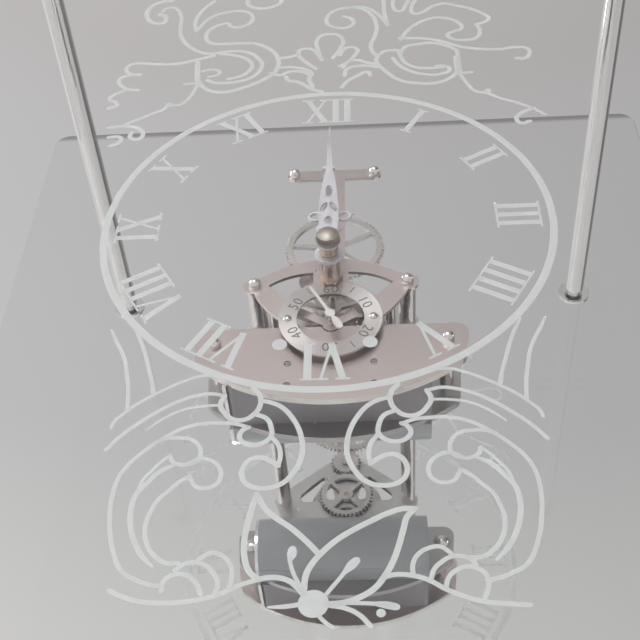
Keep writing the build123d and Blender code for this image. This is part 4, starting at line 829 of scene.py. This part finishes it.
crest_left = [
    leafy([(-58.0, 112.2), (-56.7, 111.6), (-55.7, 109.0), (-56.6, 106.7), (-58.8, 106.6), (-61.4, 108.7),
           (-62.7, 112.4), (-62.4, 116.2), (-61.1, 118.9), (-58.7, 120.7), (-55.0, 121.5)], half=0.95),
    leafy([(-57.4, 114.3), (-56.1, 116.4), (-54.0, 116.6), (-52.0, 114.5), (-50.5, 109.6), (-50.2, 103.7),
           (-49.4, 97.8), (-47.5, 93.3), (-44.7, 89.5), (-41.8, 87.0), (-38.7, 86.0), (-35.4, 86.5),
           (-31.7, 86.9), (-27.8, 86.4), (-24.8, 84.7), (-22.8, 81.9), (-21.4, 78.9), (-21.8, 75.1),
           (-23.8, 71.6), (-27.3, 69.4), (-31.4, 68.6), (-35.7, 68.9), (-38.2, 70.5)]),
    leafy([(-44.5, 100.5), (-45.4, 105.4), (-44.7, 110.5), (-42.8, 115.2), (-40.0, 119.5)]),
    leafy([(-44.5, 100.5), (-42.9, 104.3), (-40.8, 108.2), (-37.6, 110.7), (-34.3, 111.9), (-30.6, 112.2),
           (-27.5, 110.8), (-26.0, 107.8), (-26.7, 104.1), (-28.8, 102.2), (-31.3, 101.6), (-33.2, 102.6),
           (-34.3, 104.4), (-36.2, 104.0), (-38.8, 102.3), (-40.5, 99.7), (-40.9, 96.3), (-39.7, 93.2),
           (-38.1, 92.0), (-33.1, 91.6), (-28.1, 91.4), (-24.0, 90.8), (-20.8, 88.7), (-17.9, 85.3),
           (-16.4, 81.4), (-16.3, 76.5), (-17.6, 72.6), (-20.0, 70.0), (-23.0, 67.6), (-26.5, 65.6),
           (-30.1, 64.0), (-33.7, 63.6), (-36.9, 64.5), (-39.2, 66.8), (-40.9, 70.1)], half=0.85),
    leafy([(-35.4, 85.7), (-31.5, 84.6), (-28.2, 83.2), (-25.8, 81.0), (-24.5, 77.7), (-25.6, 74.4),
           (-27.7, 72.1), (-31.6, 70.7)]),
    leafy([(-28.3, 119.1), (-28.0, 116.1), (-26.1, 114.1), (-23.2, 113.2), (-19.8, 114.0), (-17.3, 115.8),
           (-16.5, 118.2)], half=0.95),
    leafy([(-37.5, 84.6), (-41.4, 83.2), (-44.8, 81.9), (-48.0, 81.0), (-51.7, 80.8), (-56.1, 81.2),
           (-60.5, 82.0), (-63.5, 81.8), (-65.1, 80.2), (-64.9, 77.7), (-63.2, 75.8), (-60.2, 75.4)]),
    leafy([(-63.2, 75.4), (-65.9, 74.2), (-66.7, 71.9), (-65.5, 69.5), (-63.1, 67.3), (-59.9, 66.6)]),
    leafy([(-63.4, 67.0), (-65.6, 65.7), (-67.3, 64.3), (-68.2, 61.9), (-66.2, 60.5), (-65.4, 58.9),
           (-66.5, 57.7), (-67.8, 57.2)]),
    leafy([(-42.3, 81.3), (-41.9, 75.7), (-41.0, 67.9)], half=1.0),
    leafy([(-45.2, 68.9), (-41.7, 69.1)], half=0.65),
    leafy([(-41.4, 67.2), (-42.4, 63.1), (-44.1, 59.2), (-46.3, 57.4), (-48.9, 57.6), (-50.5, 55.4),
           (-52.9, 54.0), (-55.7, 52.1), (-58.8, 50.2), (-61.3, 48.3)], half=0.65),
    spot_stroke(-49.0, 57.8, radius=1.3),
    leafy([(-66.2, 47.1), (-61.1, 47.5), (-56.8, 45.8), (-55.3, 42.1), (-56.8, 40.5), (-59.0, 41.7),
           (-58.9, 43.9)]),
    leafy([(-65.4, 42.1), (-61.9, 41.8), (-62.0, 39.3), (-64.3, 37.8)]),
    leafy([(-40.2, 75.8), (-37.3, 76.6), (-35.1, 75.7), (-34.7, 74.2), (-35.7, 73.1),
           (-38.0, 72.3)], half=0.65),
    leafy([(-15.8, 81.6), (-12.8, 81.9), (-9.9, 83.3)]),
    leafy([(-9.9, 83.3), (-9.6, 85.6), (-7.8, 86.5), (-5.1, 85.4), (-3.3, 82.3), (-2.4, 79.5)]),
    leafy([(-9.9, 82.8), (-8.1, 79.6), (-6.0, 76.7), (-4.2, 74.6)]),
    leafy([(-15.2, 76.0), (-12.3, 76.0), (-9.7, 75.3), (-6.9, 73.9), (-5.4, 71.9), (-6.1, 69.1),
           (-4.9, 64.4)]),
    leafy([(-18.3, 72.9), (-15.3, 71.7), (-12.8, 73.2), (-8.6, 73.1), (-5.8, 71.0)]),
    leafy([(-13.5, 70.6), (-12.6, 68.5), (-10.0, 67.6), (-7.3, 65.3), (-5.1, 63.0), (-2.1, 61.6)]),
]
crest_strokes = [palmette_line, *crest_right, *crest_left]
crest_print = ink_strokes("crest_print", crest_strokes, print_origin, print_flatness, steps=5)
finish_print(crest_print)

# Stage: a plain pale floor under the clock, a soft room and large lamps.
# The floor shows from above only, because the photograph looks up from below the table's edge.
clear_selection()
bpy.ops.mesh.primitive_plane_add(size=4.0, location=(0.0, 0.0, 0.0))
floor = bpy.context.view_layer.objects.active
floor.name = "pale_floor"
floor_finish, floor_nodes, floor_links, floor_shader = new_finish("pale_floor")
floor_grain = add_grain(floor_nodes, scale=6.0, tint_a=(0.90, 0.895, 0.89), tint_b=(0.93, 0.925, 0.92),
                        smooth=0.7, rough=0.8)
floor_links.new(floor_grain.outputs["Color"], floor_shader.inputs["Base Color"])
floor_links.new(floor_grain.outputs["Roughness"], floor_shader.inputs["Roughness"])
floor_side = floor_nodes.new("ShaderNodeNewGeometry")
floor_open = floor_nodes.new("ShaderNodeBsdfTransparent")
floor_blend = floor_nodes.new("ShaderNodeMixShader")
floor_links.new(floor_side.outputs["Backfacing"], floor_blend.inputs["Fac"])
floor_links.new(floor_shader.outputs["BSDF"], floor_blend.inputs[1])
floor_links.new(floor_open.outputs["BSDF"], floor_blend.inputs[2])
floor_links.new(floor_blend.outputs["Shader"], floor_nodes["Material Output"].inputs["Surface"])
floor.data.materials.append(floor_finish)

room = bpy.data.worlds.new("soft_room")
bpy.context.scene.world = room
room.use_nodes = True
room_nodes, room_links = room.node_tree.nodes, room.node_tree.links
room_way = room_nodes.new("ShaderNodeTexCoord")
room_axes = room_nodes.new("ShaderNodeSeparateXYZ")
room_links.new(room_way.outputs["Generated"], room_axes.inputs["Vector"])
room_ramp = room_nodes.new("ShaderNodeValToRGB")
room_shades = ((0.0, (0.58, 0.575, 0.57)), (0.40, (0.60, 0.59, 0.57)), (0.52, (0.54, 0.535, 0.525)),
               (0.62, (0.485, 0.477, 0.481)), (0.79, (0.468, 0.458, 0.462)), (0.84, (0.455, 0.433, 0.433)),
               (1.0, (0.50, 0.48, 0.478)))
while len(room_ramp.color_ramp.elements) < len(room_shades):
    room_ramp.color_ramp.elements.new(0.5)
for stop, (place, shade) in zip(room_ramp.color_ramp.elements, room_shades):
    stop.position = place
    stop.color = (*shade, 1.0)
room_links.new(room_axes.outputs["Z"], room_ramp.inputs["Fac"])
room_links.new(room_ramp.outputs["Color"], room_nodes["Background"].inputs["Color"])
left_level = 1.38
right_level = 0.62
room_fall = room_nodes.new("ShaderNodeMapRange")
room_fall.inputs["From Min"].default_value = -1.0
room_fall.inputs["To Min"].default_value = left_level
room_fall.inputs["To Max"].default_value = right_level
room_links.new(room_axes.outputs["X"], room_fall.inputs["Value"])
room_level = room_fall.outputs["Result"]
room_path = room_nodes.new("ShaderNodeLightPath")
room_bounce = joined_value(room_nodes, room_links, "MAXIMUM", room_path.outputs["Is Glossy Ray"],
                           room_path.outputs["Is Diffuse Ray"])
# Each side of the room: where it begins and ends along X, and the share of its light in bounced rays.
room_sides = ((-0.5, -1.0, 1.1), (0.35, 0.8, 0.3))
for near, far, share in room_sides:
    room_side = room_nodes.new("ShaderNodeMapRange")
    room_side.inputs["From Min"].default_value = near
    room_side.inputs["From Max"].default_value = far
    room_side.inputs["To Min"].default_value = 1.0
    room_share = room_nodes.new("ShaderNodeMath")
    room_share.operation = "MULTIPLY_ADD"
    room_share.inputs[1].default_value = share - 1.0
    room_share.inputs[2].default_value = 1.0
    room_links.new(room_bounce, room_share.inputs[0])
    room_links.new(room_share.outputs["Value"], room_side.inputs["To Max"])
    room_links.new(room_axes.outputs["X"], room_side.inputs["Value"])
    room_level = joined_value(room_nodes, room_links, "MULTIPLY", room_level, room_side.outputs["Result"])
room_links.new(room_level, room_nodes["Background"].inputs["Strength"])


def add_lamp(name, place, target, size, power):
    """Large square lamp that faces the target."""
    data = bpy.data.lights.new(name, "AREA")
    data.shape = "SQUARE"
    data.size = size
    data.energy = power
    lamp = bpy.data.objects.new(name, data)
    lamp.location = place
    lamp.rotation_euler = (Vector(target) - Vector(place)).to_track_quat("-Z", "Y").to_euler()
    bpy.context.collection.objects.link(lamp)


lamp_target = (0.0, 0.0, 0.16)
add_lamp("front_lamp", place=(-0.25, -1.6, 0.32), target=lamp_target, size=0.55, power=10.0)
add_lamp("key_lamp", place=(-1.3, -0.35, 0.7), target=lamp_target, size=0.7, power=7.0)
add_lamp("fill_lamp", place=(1.5, 0.1, 0.5), target=lamp_target, size=0.5, power=2.0)

# Camera: close below the dial, looking up at it through the front glass.
# Its place and lens come from the ring and the numerals in the photograph.
camera_data = bpy.data.cameras.new("camera")
camera_data.lens = 62.73
camera_data.sensor_width = 36.0
camera_data.clip_start = 0.01
camera = bpy.data.objects.new("camera", camera_data)
bpy.context.collection.objects.link(camera)
camera_right = (0.99814, 0.05932, 0.01408)
camera_up = (0.03201, -0.70643, 0.70706)
camera_back = (0.05189, -0.70529, -0.70701)
camera_turn = Matrix((camera_right, camera_up, camera_back)).transposed().to_4x4()
camera_place = (0.01293, -0.23522, -0.06867)
camera.matrix_world = Matrix.Translation(camera_place) @ camera_turn
bpy.context.scene.camera = camera
bpy.context.scene.view_settings.view_transform = "Standard"
